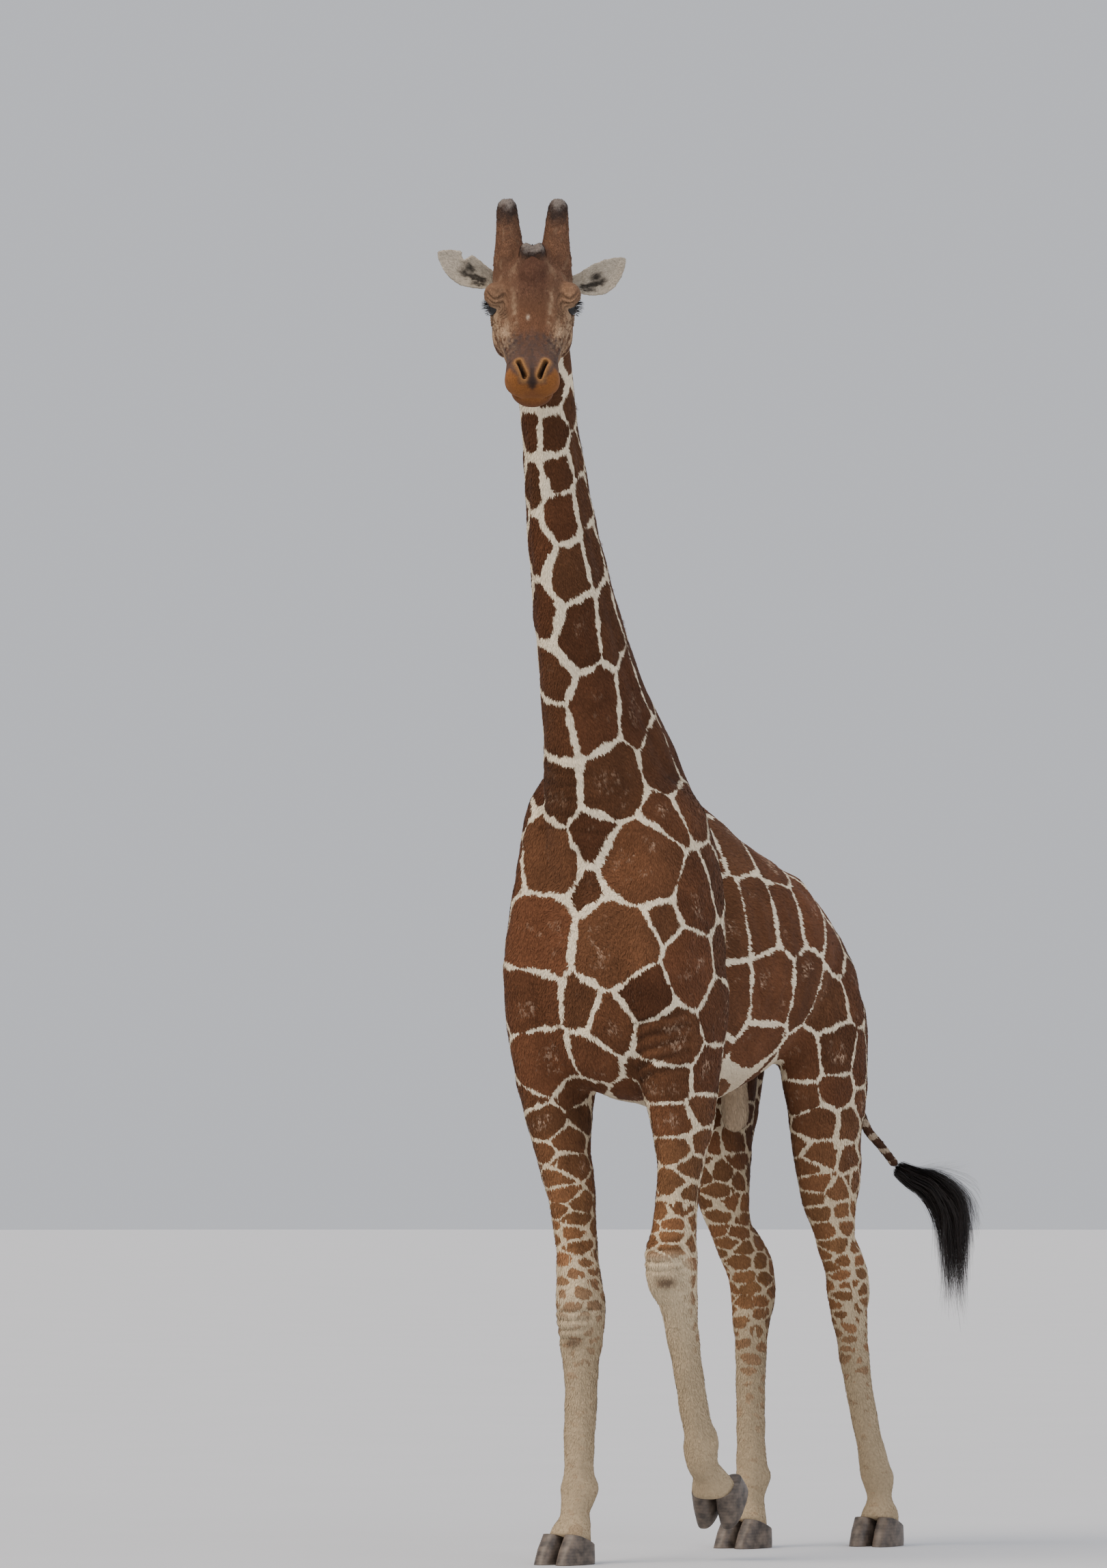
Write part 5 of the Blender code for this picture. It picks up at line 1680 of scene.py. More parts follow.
def ear_colours(local: Array, colour: Array) -> Array:
    """Ears: pale grey hollow with dark streaks, tan back; found by the leaf's own axes."""
    for side in (-1.0, 1.0):
        ear = ear_of(side)
        turned = local * (1.0, 1.0, side) - ear.root
        along = turned @ ear.axis / ear.length
        edge = turned @ ear.rise + 4.0 * ear.sag * along * (1.0 - along)
        half, cup = ear_section(along)
        across = np.clip(edge / half, -1.0, 1.0)
        depth = turned @ ear.face + cup * half * (1.0 - across**2)
        on_ear = (along > 0.03) & (along < 1.1)
        on_ear = on_ear & (np.abs(edge) < half + 0.02) & (local[:, 2] * side > 0.15)
        front = smooth_step(-0.002, 0.002, depth)
        shade = np.tile(tint(TONES.ear_back), (len(local), 1))
        shade = lay(shade, TONES.ear_front,
                    np.maximum(front, smooth_step(0.80, 0.95, np.abs(across))))
        streak = np.zeros(len(local))
        noise = 0.10 * ripple(local, 0.02, 31)
        for start, end, place, width in ((0.12, 0.66, -0.22, 0.20), (0.34, 0.62, 0.20, 0.22),
                                         (0.10, 0.42, -0.58, 0.12)):
            inside = smooth_step(start, start + 0.10, along) * smooth_step(end, end - 0.12, along)
            streak = np.maximum(streak, inside * np.exp(-(((across - place + noise) / width) ** 4)))
        shade = lay(shade, TONES.ear_streak, np.clip(streak * front, 0.0, 1.0) * 0.92)
        share = smooth_step(0.03, 0.12, along) * on_ear
        colour = colour * (1.0 - share[:, None]) + shade * share[:, None]
    return colour


@dataclass
class Looks:
    """What every point of skin and coat carries: six mark values and two colours."""

    marks: Array
    patch: Array
    line: Array

    def put_on(self, obj: bpy.types.Object, roots: Array) -> None:
        """Store the looks on an object's vertices, with the place they are read at."""
        for name, values in (
            ("marks_a", self.marks[:, :3]), ("marks_b", self.marks[:, 3:]),
            ("patch_tint", self.patch), ("line_tint", self.line), ("root_place", roots),
        ):
            layer = obj.data.attributes.new(name, "FLOAT_VECTOR", "POINT")
            layer.data.foreach_set("vector", np.ascontiguousarray(values, dtype=np.float32).ravel())

    def take(self, index: Array) -> "Looks":
        """The looks of some of the points."""
        return Looks(self.marks[index], self.patch[index], self.line[index])


def looks_of(points: Array, places: Places, markings: Markings) -> Looks:
    """Work out marks and colours for points of the skin, with painted shade in the folds of arm,
    throat and knees.
    """
    marks, patch = markings.fields(points, places)
    height = points[:, 2]
    line = np.tile(tint(TONES.cream), (len(points), 1))
    line = lay(line, TONES.leg_cream, smooth_step(2.0, 1.3, height))
    # The lower legs' tan, made part way darker as painted shade near the ground.
    line = lay(line, TONES.shank, smooth_step(1.2, 0.7, height))
    # The underside's cream, darker than the lines above it: partly painted shade.
    line = lay(line, TONES.belly, belly_share(points, places) * 0.8)
    fade = leg_fade(points, places) * places.on(*LEGS)
    bare = smooth_step(1.22, 1.10, height) * smooth_step(-0.7, 0.1, np.cos(places.angle - 0.4))
    fade = np.maximum(0.80 * fade, 0.94 * bare * places.on(Region.FORE_LEFT))
    patch = patch * (1.0 - fade[:, None]) + line * fade[:, None]
    for spot, size in (((0.270, 0.150, 1.140), (0.110, 0.080, 0.036)),
                       ((-0.105, 0.130, 0.925), (0.110, 0.080, 0.030))):
        cap = np.clip(
            1.1 * bump_at(points, spot, size) * (0.75 + 0.35 * ripple(points, 0.03, 51)), 0.0, 0.85
        )
        patch = lay(patch, TONES.leg_cream, cap)
    for spot, size in (((0.292, 0.152, 1.080), (0.044, 0.060, 0.024)),
                       ((-0.110, 0.145, 0.846), (0.036, 0.050, 0.013))):
        rub = np.clip(1.2 * bump_at(points, spot, size), 0.0, 0.85)
        line, patch = lay(line, TONES.callus, rub), lay(patch, TONES.callus, rub)
    # Painted shade: patch and line are darkened in the folds of the left arm, the base of the
    # throat and the front knees, by each fold's depth.
    depth = np.zeros(len(points))
    for fold in soft_folds() + knee_folds("fore_left") + knee_folds("fore_right"):
        depth = np.minimum(depth, fold.rise(points))
    shade = 1.0 + 38.0 * depth
    patch, line = patch * shade[:, None], line * (0.5 + 0.5 * shade[:, None])
    on_head = places.on(Region.HEAD)
    cut = above_throat(points)
    face = ear_colours(places.local, face_colours(places.local))
    share = smooth_step(0.0, 0.05, cut) * on_head
    plain = smooth_step(-0.05, 0.02, places.local[:, 0] + 0.3 * (places.local[:, 1] + 0.10))
    share = share * np.maximum(plain, smooth_step(-0.02, 0.03, places.local[:, 1] + 0.02))
    share = np.maximum(share, on_head * (np.abs(places.local[:, 2]) > 0.15))
    share = share * smooth_step(-0.250, -0.215, places.local[:, 1])
    patch = patch * (1.0 - share[:, None]) + face * share[:, None]
    line = line * (1.0 - share[:, None]) + face * share[:, None]
    pouch = places.on(Region.SCROTUM)
    line[pouch] = tint("9E8A72") * (1.0 + 0.10 * ripple(points[pouch], 0.03, 52))[:, None]
    tail = places.on(Region.TAIL)
    line[tail] = tint("A4937F")
    patch[tail] = tint("4A3326")
    return Looks(marks, patch, line)


# ------------------------------------------------------------------ materials
def add_node(
    tree: bpy.types.NodeTree,
    kind: str,
    sockets: dict[str | int, object] | None = None,
    **settings: object,
) -> bpy.types.Node:
    """Add a node with its settings, and set or link its sockets.

    Args:
        tree: The material's node tree.
        kind: The node's type, without ShaderNode.
        sockets: By the input's name or number: a value, an output to link, or a node, which
            stands for its first output.
        settings: Properties of the node.

    Returns:
        The node.
    """
    made = tree.nodes.new("ShaderNode" + kind)
    for name, value in settings.items():
        setattr(made, name, value)
    for name, value in (sockets or {}).items():
        if isinstance(value, bpy.types.Node):
            value = value.outputs[0]
        if isinstance(value, bpy.types.NodeSocket):
            tree.links.new(value, made.inputs[name])
        else:
            made.inputs[name].default_value = value
    return made


def colour(code: str) -> tuple[float, float, float, float]:
    """A hex colour as a socket's value."""
    return (*linear(code), 1.0)


@dataclass(frozen=True)
class Finish:
    """A material by its real name; each kind paints its own nodes."""

    name: str

    def paint(self, add: Callable[..., bpy.types.Node]) -> dict[str, object]:
        """Add the nodes, and say what goes into each of the shader's sockets."""
        raise NotImplementedError

    def make(self) -> bpy.types.Material:
        """Build the material: the painted nodes, the shader and the output."""
        material = bpy.data.materials.new(self.name)
        material.use_nodes = True
        tree = material.node_tree
        tree.nodes.clear()
        shader = add_node(tree, "BsdfPrincipled", self.paint(partial(add_node, tree)))
        add_node(tree, "OutputMaterial", {"Surface": shader})
        return material


@dataclass(frozen=True)
class HideFinish(Finish):
    """Giraffe hide under short hair, 25 to 30 mm on the body: matt, with a faint silky lift.

    The edge between line and patch wanders with 70 mm noise and is ragged with 14 mm and 3 mm
    noises, as single hairs cross it.
    """

    name: str = "short_giraffe_hair"
    roughness: float = 0.80
    specular: float = 0.10
    sheen: float = 0.02
    swings: tuple = ((14.0, 0.038), (70.0, 0.016), (330.0, 0.008))  # noise scale, metres of shift
    edge: float = 0.0018       # half the width of the change from line to patch
    scar: str = "C0A288"
    bump: float = 0.35

    def paint(self, add: Callable[..., bpy.types.Node]) -> dict[str, object]:
        """Patch where the greatest of the six marks is over zero, line elsewhere."""
        top = None
        for name in ("marks_a", "marks_b"):
            marks = add("SeparateXYZ", {0: add("Attribute", attribute_name=name).outputs["Vector"]})
            for value in marks.outputs:
                top = value if top is None else add("Math", {0: top, 1: value}, operation="MAXIMUM")
        root = add("Attribute", attribute_name="root_place").outputs["Vector"]
        for scale, swing in self.swings:
            noise = add("TexNoise", {"Vector": root, "Scale": scale, "Detail": 1.0})
            centred = add("Math", {0: noise, 1: 0.5}, operation="SUBTRACT")
            top = add("Math", {0: centred, 1: swing, 2: top}, operation="MULTIPLY_ADD")
        inside = add("MapRange", {0: top, 1: -self.edge, 2: self.edge},
                     interpolation_type="SMOOTHSTEP")
        base = add("Mix", {
            "Factor": inside, "A": self.dusty_line(add, root), "B": self.worn_patch(add, root, top),
        }, data_type="RGBA")
        place = add("TexCoord").outputs["Object"]
        hair = add("TexNoise", {"Vector": place, "Scale": 420.0, "Detail": 2.0})
        bump = add("Bump", {"Height": hair, "Strength": self.bump, "Distance": 0.0012})
        return {
            "Base Color": base.outputs["Result"], "Normal": bump, "Roughness": self.roughness,
            "Specular IOR Level": self.specular, "Sheen Weight": self.sheen,
            "Sheen Roughness": 0.45,
        }

    def worn_patch(self, add: Callable[..., bpy.types.Node], root: bpy.types.NodeSocket,
                   top: bpy.types.Node) -> bpy.types.NodeSocket:
        """Vary a patch's brown by 120 mm and 6 mm noises; some cores are rubbed pale.

        Args:
            add: Adds a node to the material.
            root: Where the hair is rooted.
            top: How far inside the patch that is.

        Returns:
            The patch's colour, with fewer rubbed cores up the neck.
        """
        patch = add("Attribute", attribute_name="patch_tint").outputs["Color"]
        for scale, low, high in ((8.0, 0.80, 1.20), (160.0, 0.76, 1.24)):
            noise = add("TexNoise", {"Vector": root, "Scale": scale, "Detail": 3.0})
            level = add("MapRange", {0: noise, 1: 0.25, 2: 0.75, 3: low, 4: high})
            patch = add("VectorMath", {0: patch, 1: level}, operation="MULTIPLY")
        share = add("MapRange", {0: top, 1: 0.028, 2: 0.060}, interpolation_type="SMOOTHSTEP")
        height = add("SeparateXYZ", {"Vector": root}).outputs["Z"]
        most = add("MapRange", {0: height, 1: 2.75, 2: 3.15, 3: 0.80, 4: 0.25})
        for scale, detail, rough, low, high, full in (
            (7.5, 4.0, 0.65, 0.53, 0.67, most), (75.0, 3.0, 0.70, 0.50, 0.60, 1.0),
        ):
            noise = add("TexNoise", {
                "Vector": root, "Scale": scale, "Detail": detail, "Roughness": rough,
            })
            spots = add("MapRange", {0: noise, 1: low, 2: high, 4: full})
            share = add("Math", {0: share, 1: spots}, operation="MULTIPLY")
        rubbed = add("Mix", {"Factor": share, "A": patch, "B": colour(self.scar)}, data_type="RGBA")
        return rubbed.outputs["Result"]

    @staticmethod
    def dusty_line(add: Callable[..., bpy.types.Node],
                   root: bpy.types.NodeSocket) -> bpy.types.Node:
        """Vary the pale lines by 9 mm noise, with dust."""
        line = add("Attribute", attribute_name="line_tint").outputs["Color"]
        noise = add("TexNoise", {"Vector": root, "Scale": 110.0, "Detail": 3.0})
        level = add("MapRange", {0: noise, 1: 0.25, 2: 0.75, 3: 0.86, 4: 1.12})
        return add("VectorMath", {0: line, 1: level}, operation="MULTIPLY")


@dataclass(frozen=True)
class HairFinish(Finish):
    """Coarse hair of mane, tail and lashes, as blades of several hairs; each has its own tone."""

    dark: str
    light: str
    roughness: float = 0.55
    specular: float = 0.35

    def paint(self, add: Callable[..., bpy.types.Node]) -> dict[str, object]:
        """Dark to light by the lock's own tone and 4 mm noise."""
        tone = add("Attribute", attribute_name="lock_tone").outputs["Fac"]
        place = add("TexCoord").outputs["Object"]
        noise = add("TexNoise", {"Vector": place, "Scale": 240.0, "Detail": 2.0})
        share = add("Math", {0: noise, 1: 0.5, 2: tone}, operation="MULTIPLY_ADD")
        level = add("MapRange", {0: share, 1: 0.25, 2: 1.25})
        mixed = add("Mix", {"Factor": level, "A": colour(self.dark), "B": colour(self.light)},
                    data_type="RGBA")
        return {"Base Color": mixed.outputs["Result"], "Roughness": self.roughness,
                "Specular IOR Level": self.specular}


@dataclass(frozen=True)
class EyeFinish(Finish):
    """A wet eye, almost black with a brown ring: smooth, IOR 1.376, under a clear tear film."""

    name: str = "wet_dark_eye"
    ball: str = "0B0706"
    ring: str = "2A1710"

    def paint(self, add: Callable[..., bpy.types.Node]) -> dict[str, object]:
        """The ring lies 10 to 15 mm from the middle of the pupil, read from pupil_gap."""
        where = add("Attribute", attribute_name="pupil_gap").outputs["Fac"]
        ring = add("MapRange", {0: where, 1: 0.007, 2: 0.010}, interpolation_type="SMOOTHSTEP")
        edge = add("MapRange", {0: where, 1: 0.019, 2: 0.015}, interpolation_type="SMOOTHSTEP")
        share = add("Math", {0: ring, 1: edge}, operation="MULTIPLY")
        mixed = add("Mix", {"Factor": share, "A": colour(self.ball), "B": colour(self.ring)},
                    data_type="RGBA")
        return {"Base Color": mixed.outputs["Result"], "Roughness": 0.12, "IOR": 1.376,
                "Coat Weight": 0.6, "Specular IOR Level": 0.25, "Coat Roughness": 0.03}


@dataclass(frozen=True)
class HornFinish(Finish):
    """Ossicones: bone under short brown hair, rubbed bald and grey at the knobs."""

    name: str = "haired_horn"
    low: str = "74523C"
    high: str = "3B2D26"
    bald: str = "746B64"

    def paint(self, add: Callable[..., bpy.types.Node]) -> dict[str, object]:
        """Brown, darker and then bald by lock_tone: 0 at the root, 1 at the tip; 4 mm grain."""
        place = add("TexCoord").outputs["Object"]
        tone = add("Attribute", attribute_name="lock_tone").outputs["Fac"]
        coarse = add("TexNoise", {"Vector": place, "Scale": 34.0, "Detail": 4.0})
        fine = add("TexNoise", {"Vector": place, "Scale": 260.0, "Detail": 3.0})
        level = add("Math", {0: coarse, 1: 0.34, 2: tone}, operation="MULTIPLY_ADD")
        base = colour(self.low)
        for code, low, high, most in ((self.high, 0.80, 1.06, 1.0), (self.bald, 1.09, 1.19, 0.8)):
            share = add("MapRange", {0: level, 1: low, 2: high, 4: most})
            base = add("Mix", {"Factor": share, "A": base, "B": colour(code)},
                       data_type="RGBA").outputs["Result"]
        grain = add("MapRange", {0: fine, 1: 0.25, 2: 0.75, 3: 0.62, 4: 1.45})
        mixed = add("VectorMath", {0: base, 1: grain}, operation="MULTIPLY")
        bump = add("Bump", {"Height": fine, "Strength": 0.6, "Distance": 0.0015})
        return {"Base Color": mixed, "Normal": bump, "Roughness": 0.78, "Specular IOR Level": 0.25}


@dataclass(frozen=True)
class HoofFinish(Finish):
    """Keratin, grown in rings about 6 mm apart with upright fibres, worn matt and dusty."""

    name: str = "grown_keratin"
    dark: str = "3A322C"
    light: str = "77695C"

    def paint(self, add: Callable[..., bpy.types.Node]) -> dict[str, object]:
        """Dust over faint growth rings by height; the fibres are fine upright streaks."""
        place = add("TexCoord").outputs["Object"]
        rings = add("TexWave", {"Vector": place, "Scale": 26.0, "Distortion": 0.8, "Detail": 1.0},
                    bands_direction="Z").outputs["Fac"]
        long = add("Mapping", {"Vector": place, "Scale": (1.0, 1.0, 0.08)})
        fibre = add("TexNoise", {"Vector": long, "Scale": 420.0, "Detail": 2.0})
        dust = add("TexNoise", {"Vector": place, "Scale": 30.0, "Detail": 4.0})
        level = add("Math", {0: rings, 1: 0.05, 2: dust}, operation="MULTIPLY_ADD")
        share = add("MapRange", {0: level, 1: 0.35, 2: 0.85})
        mixed = add("Mix", {"Factor": share, "A": colour(self.dark), "B": colour(self.light)},
                    data_type="RGBA")
        height = add("Math", {0: rings, 1: fibre}, operation="ADD")
        bump = add("Bump", {"Height": height, "Strength": 0.12, "Distance": 0.0006})
        return {"Base Color": mixed.outputs["Result"], "Normal": bump, "Roughness": 0.5}


@dataclass(frozen=True)
class FloorFinish(Finish):
    """A seamless studio floor: painted board, pale and matt."""

    name: str = "painted_studio_floor"
    tone: str = "C9CBCE"

    def paint(self, add: Callable[..., bpy.types.Node]) -> dict[str, object]:
        """One tone, uneven by 3% over nearly a metre."""
        place = add("TexCoord").outputs["Object"]
        noise = add("TexNoise", {"Vector": place, "Scale": 1.2, "Detail": 3.0})
        level = add("MapRange", {0: noise, 3: 0.97, 4: 1.03})
        mixed = add("VectorMath", {0: linear(self.tone), 1: level}, operation="MULTIPLY")
        return {"Base Color": mixed, "Roughness": 0.8}


# ------------------------------------------------------------------ hair
def hand_in(obj: bpy.types.Object, material: bpy.types.Material, slot: str, *nodes: str) -> None:
    """Give a finished piece its one material, and say what it rides on and stands for.

    Args:
        obj: The piece.
        material: Its material.
        slot: Not used.
        nodes: The frame's nodes it replaces, if any.
    """
    obj.data.materials.clear()
    obj.data.materials.append(material)
    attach(obj, BODY)
    if nodes:
        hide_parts(*nodes)
    LOG.info("%s: %d faces", obj.name, len(obj.data.polygons))


def put_value(obj: bpy.types.Object, name: str, values: Array) -> None:
    """Store one number for each vertex."""
    layer = obj.data.attributes.new(name, "FLOAT", "POINT")
    layer.data.foreach_set("value", np.ascontiguousarray(values, dtype=np.float32).ravel())


def put_map(obj: bpy.types.Object, uv: Array) -> None:
    """Give a piece its bake map, from one place for each vertex."""
    corners = np.empty(len(obj.data.loops), dtype=np.int32)
    obj.data.loops.foreach_get("vertex_index", corners)
    layer = obj.data.uv_layers.new(name="OFBake")
    layer.data.foreach_set("uv", np.ascontiguousarray(uv[corners], dtype=np.float32).ravel())


class Roots(NamedTuple):
    """Places on a mesh: the corners of each one's triangle, and their weights."""

    corners: Array
    weight: Array

    def read(self, values: Array) -> Array:
        """Blend vertex values at the roots."""
        return (values[self.corners] * self.weight[..., None]).sum(axis=1)

    def nearest(self) -> Array:
        """The nearest corner of each root's triangle."""
        return self.corners[np.arange(len(self.corners)), self.weight.argmax(axis=1)]


def triangles_of(obj: bpy.types.Object) -> Array:
    """The corners of an object's triangles."""
    obj.data.calc_loop_triangles()
    corners = np.empty(len(obj.data.loop_triangles) * 3, dtype=np.int32)
    obj.data.loop_triangles.foreach_get("vertices", corners)
    return corners.reshape(-1, 3)


def scatter(points: Array, corners: Array, wanted: Array, count: int,
            rng: np.random.Generator) -> Roots:
    """Spread roots over triangles evenly by area, where they are wanted."""
    a, b, c = (points[corners[:, i]] for i in range(3))
    area = np.linalg.norm(np.cross(b - a, c - a), axis=1) * wanted
    triangle = np.searchsorted(np.cumsum(area) / area.sum(), rng.random(count))
    share = rng.random((count, 2))
    share = np.where(share.sum(axis=1, keepdims=True) > 1.0, 1.0 - share, share)
    weight = np.stack((1.0 - share.sum(axis=1), share[:, 0], share[:, 1]), axis=1)
    return Roots(corners[triangle], weight)


@dataclass(frozen=True)
class Coat:
    """Short hair over some regions of the skin, as flat tufts.

    A tuft is a kite of four points: its root under the skin, two sides at 40% of its length, and
    its tip, lifted by a few degrees. It lies the way the hair grows, with some spread.
    """

    name: str
    regions: tuple[Region, ...]
    tufts: int
    length: float
    width: float
    lift: float = 0.15         # tangent of the angle to the skin
    spread: float = 0.20
    sink: float = 0.0010
    grizzle: float = 0.12

    def lay(self, root: Array, normal: Array, lie: Array, factor: Array,
            rng: np.random.Generator) -> Surface:
        """Lay a kite on each root.

        Args:
            root: Roots on the skin; each becomes the middle of its tuft.
            normal: The skin's normals there.
            lie: Which way the hair lies.
            factor: Shortens single tufts.
            rng: The order of random draws.

        Returns:
            The tufts, two triangles each.
        """
        count = len(root)
        lie = unit(lie) + rng.normal(scale=self.spread, size=lie.shape)
        lie = unit(lie - (lie * normal).sum(axis=1, keepdims=True) * normal)
        aside = np.cross(normal, lie)
        length = (self.length * factor * rng.uniform(0.75, 1.15, count))[:, None]
        width = (self.width * (0.5 + 0.5 * factor) * rng.uniform(0.75, 1.2, count))[:, None]
        lift = self.lift * rng.uniform(0.6, 1.3, (count, 1))
        roll = rng.normal(scale=0.12, size=(count, 1))
        base = root - normal * self.sink - lie * length * 0.5
        middle = base + lie * length * 0.42 + normal * (length * 0.50 * lift + self.sink * 0.6)
        wing = (aside + normal * roll) * width * 0.5
        tip = base + lie * length + normal * (length * lift + self.sink * 0.4)
        points = np.stack((base, middle - wing, tip, middle + wing), axis=1).reshape(-1, 3)
        start = np.arange(count)[:, None] * 4
        tris = np.concatenate((start + (0, 1, 3), start + (1, 2, 3)), axis=1).reshape(-1, 3)
        facing = np.cross(points[tris[:, 1]] - points[tris[:, 0]],
                          points[tris[:, 2]] - points[tris[:, 0]])
        flip = (facing * np.repeat(normal, 2, axis=0)).sum(axis=1) < 0.0
        tris[flip] = tris[flip][:, ::-1]
        return Surface(points, np.zeros((0, 4), dtype=int), tris)

    def grow(self, hide: "Hide", places: Places, looks: Looks, shift: Array,
             keep: Callable[[Array, Array], Array], rng: np.random.Generator) -> bpy.types.Object:
        """Scatter the roots evenly by area and lay a tuft on each.

        Args:
            hide: The skin.
            places: Places of the skin's vertices.
            looks: Looks of the skin's vertices.
            shift: From the animal's frame to the model's.
            keep: Length factors of roots; none grows where it is 0.
            rng: The order of random draws.

        Returns:
            The coat piece.
        """
        corners = triangles_of(hide.obj)
        corners = corners[places.on(*self.regions)[corners[:, 0]]]
        wanted = keep(hide.points[corners[:, 0]], corners[:, 0]) > 0.0
        roots = scatter(hide.points, corners, wanted, self.tufts, rng)
        root, normal = roots.read(hide.points), unit(roots.read(hide.normals))
        nearest = roots.nearest()
        surface = self.lay(root, normal, unit(roots.read(places.lie)), keep(root, nearest), rng)
        obj = new_object(self.name, surface, shift)
        four = np.repeat(np.arange(self.tufts), 4)
        looks = Looks(roots.read(looks.marks), roots.read(looks.patch), roots.read(looks.line))
        tone = rng.uniform(1.0 - self.grizzle, 1.0 + self.grizzle, (self.tufts, 1))
        looks = Looks(looks.marks, looks.patch * tone, looks.line * (0.5 + 0.5 * tone)).take(four)
        looks.put_on(obj, root[four])
        column = np.searchsorted(sorted(region.value for region in self.regions),
                                 places.region[nearest])
        u = (column + 0.02 + 0.96 * (places.angle[nearest] / TAU + 0.5)) / len(self.regions)
        v = 0.02 + 0.96 * places.along[nearest]
        patch = np.array(((0.0, -1.0), (-1.0, 0.0), (0.0, 1.0), (1.0, 0.0))) * 0.0015
        put_map(obj, (np.stack((u, v), axis=-1)[:, None] + patch[None]).reshape(-1, 2))
        return obj


def blades(roots: Array, steps: Sequence[Array], aside: Array, width: Array,
           taper: Sequence[float]) -> Surface:
    """Long hairs as ribbons of quads: at each step, the point with half the width to each side.

    Args:
        roots: Where the hairs start.
        steps: Offsets from the roots, one array for each step along the hair.
        aside: Unit vectors across the ribbons.
        width: Width of each at its root.
        taper: Share of the width at each step, the root first.

    Returns:
        The ribbons, two quads' worth of points at each step.
    """
    rows = [roots, *(roots + step for step in steps)]
    points = np.stack([
        np.stack((row - aside * (width * share / 2.0)[:, None],
                  row + aside * (width * share / 2.0)[:, None]), axis=1)
        for row, share in zip(rows, taper)
    ], axis=1)
    count, levels = points.shape[:2]
    index = np.arange(count * levels * 2).reshape(count, levels, 2)
    corners = (index[:, :-1, 0], index[:, :-1, 1], index[:, 1:, 1], index[:, 1:, 0])
    quads = np.stack(corners, axis=-1).reshape(-1, 4)
    return Surface(points.reshape(-1, 3), quads, np.zeros((0, 3), dtype=int))


@dataclass
class Mane:
    """A short upright brush of hair along the nape."""

    locks: int = 15_000
    half_width: float = 0.015

    def build(self, shift: Array, rng: np.random.Generator) -> None:
        """Stand the locks on the crest, leaning a little back and apart."""
        value, slope = spline(NECK, 300)
        tangent, toward, across = path_axes(slope, FRONT)
        low, high = MANE_SPAN
        share = low + (high - low) * rng.random(self.locks)
        step = share * 298.0
        index = step.astype(int)
        part = (step - index)[:, None]
        run = (share - low) / (high - low)
        height = MANE_HEIGHT * np.clip(
            np.minimum(0.30 + 5.0 * run, 0.40 + 5.0 * (1.0 - run)), 0.0, 1.0
        )
        aside = rng.normal(scale=0.5, size=self.locks).clip(-1.0, 1.0)
        row = value[index] * (1.0 - part) + value[index + 1] * part
        depth = row[:, 5] * np.sqrt(1.0 - (aside * self.half_width / row[:, 3]) ** 2) - 0.010
        roots = (
            row[:, :3]
            - toward[index] * depth[:, None]
            + across[index] * (aside * self.half_width)[:, None]
        )
        clump = np.sin(share * 310.0) * 0.04 + np.sin(share * 117.0 + 2.0) * 0.05
        up = (
            -toward[index]
            + across[index] * (aside * 0.10 + clump)[:, None]
            - tangent[index] * 0.30
        )
        up = unit(up + rng.normal(scale=0.045, size=up.shape))
        wave = 0.90 + 0.06 * np.sin(share * 230.0) + 0.04 * np.sin(share * 91.0)
        length = ((height + 0.010) * wave * rng.uniform(0.80, 0.98, self.locks))[:, None]
        bend = -tangent[index] * length * 0.10
        turn = rng.uniform(0.0, math.pi, self.locks)[:, None]
        wing = unit(across[index] * np.cos(turn) + tangent[index] * np.sin(turn))
        surface = blades(roots,
                         [up * length * 0.45, up * length * 0.8 + bend * 0.5, up * length + bend],
                         wing, rng.uniform(0.0018, 0.0034, self.locks), (1.0, 0.9, 0.6, 0.1))
        obj = new_object("mane_hair", surface, shift)
        put_value(obj, "lock_tone", np.repeat(rng.uniform(0.0, 1.0, self.locks), 8))
        finish = HairFinish("coarse_brown_mane", "2E1C14", "7A5138")
        hand_in(obj, finish.make(), "mane_hair", "mane")


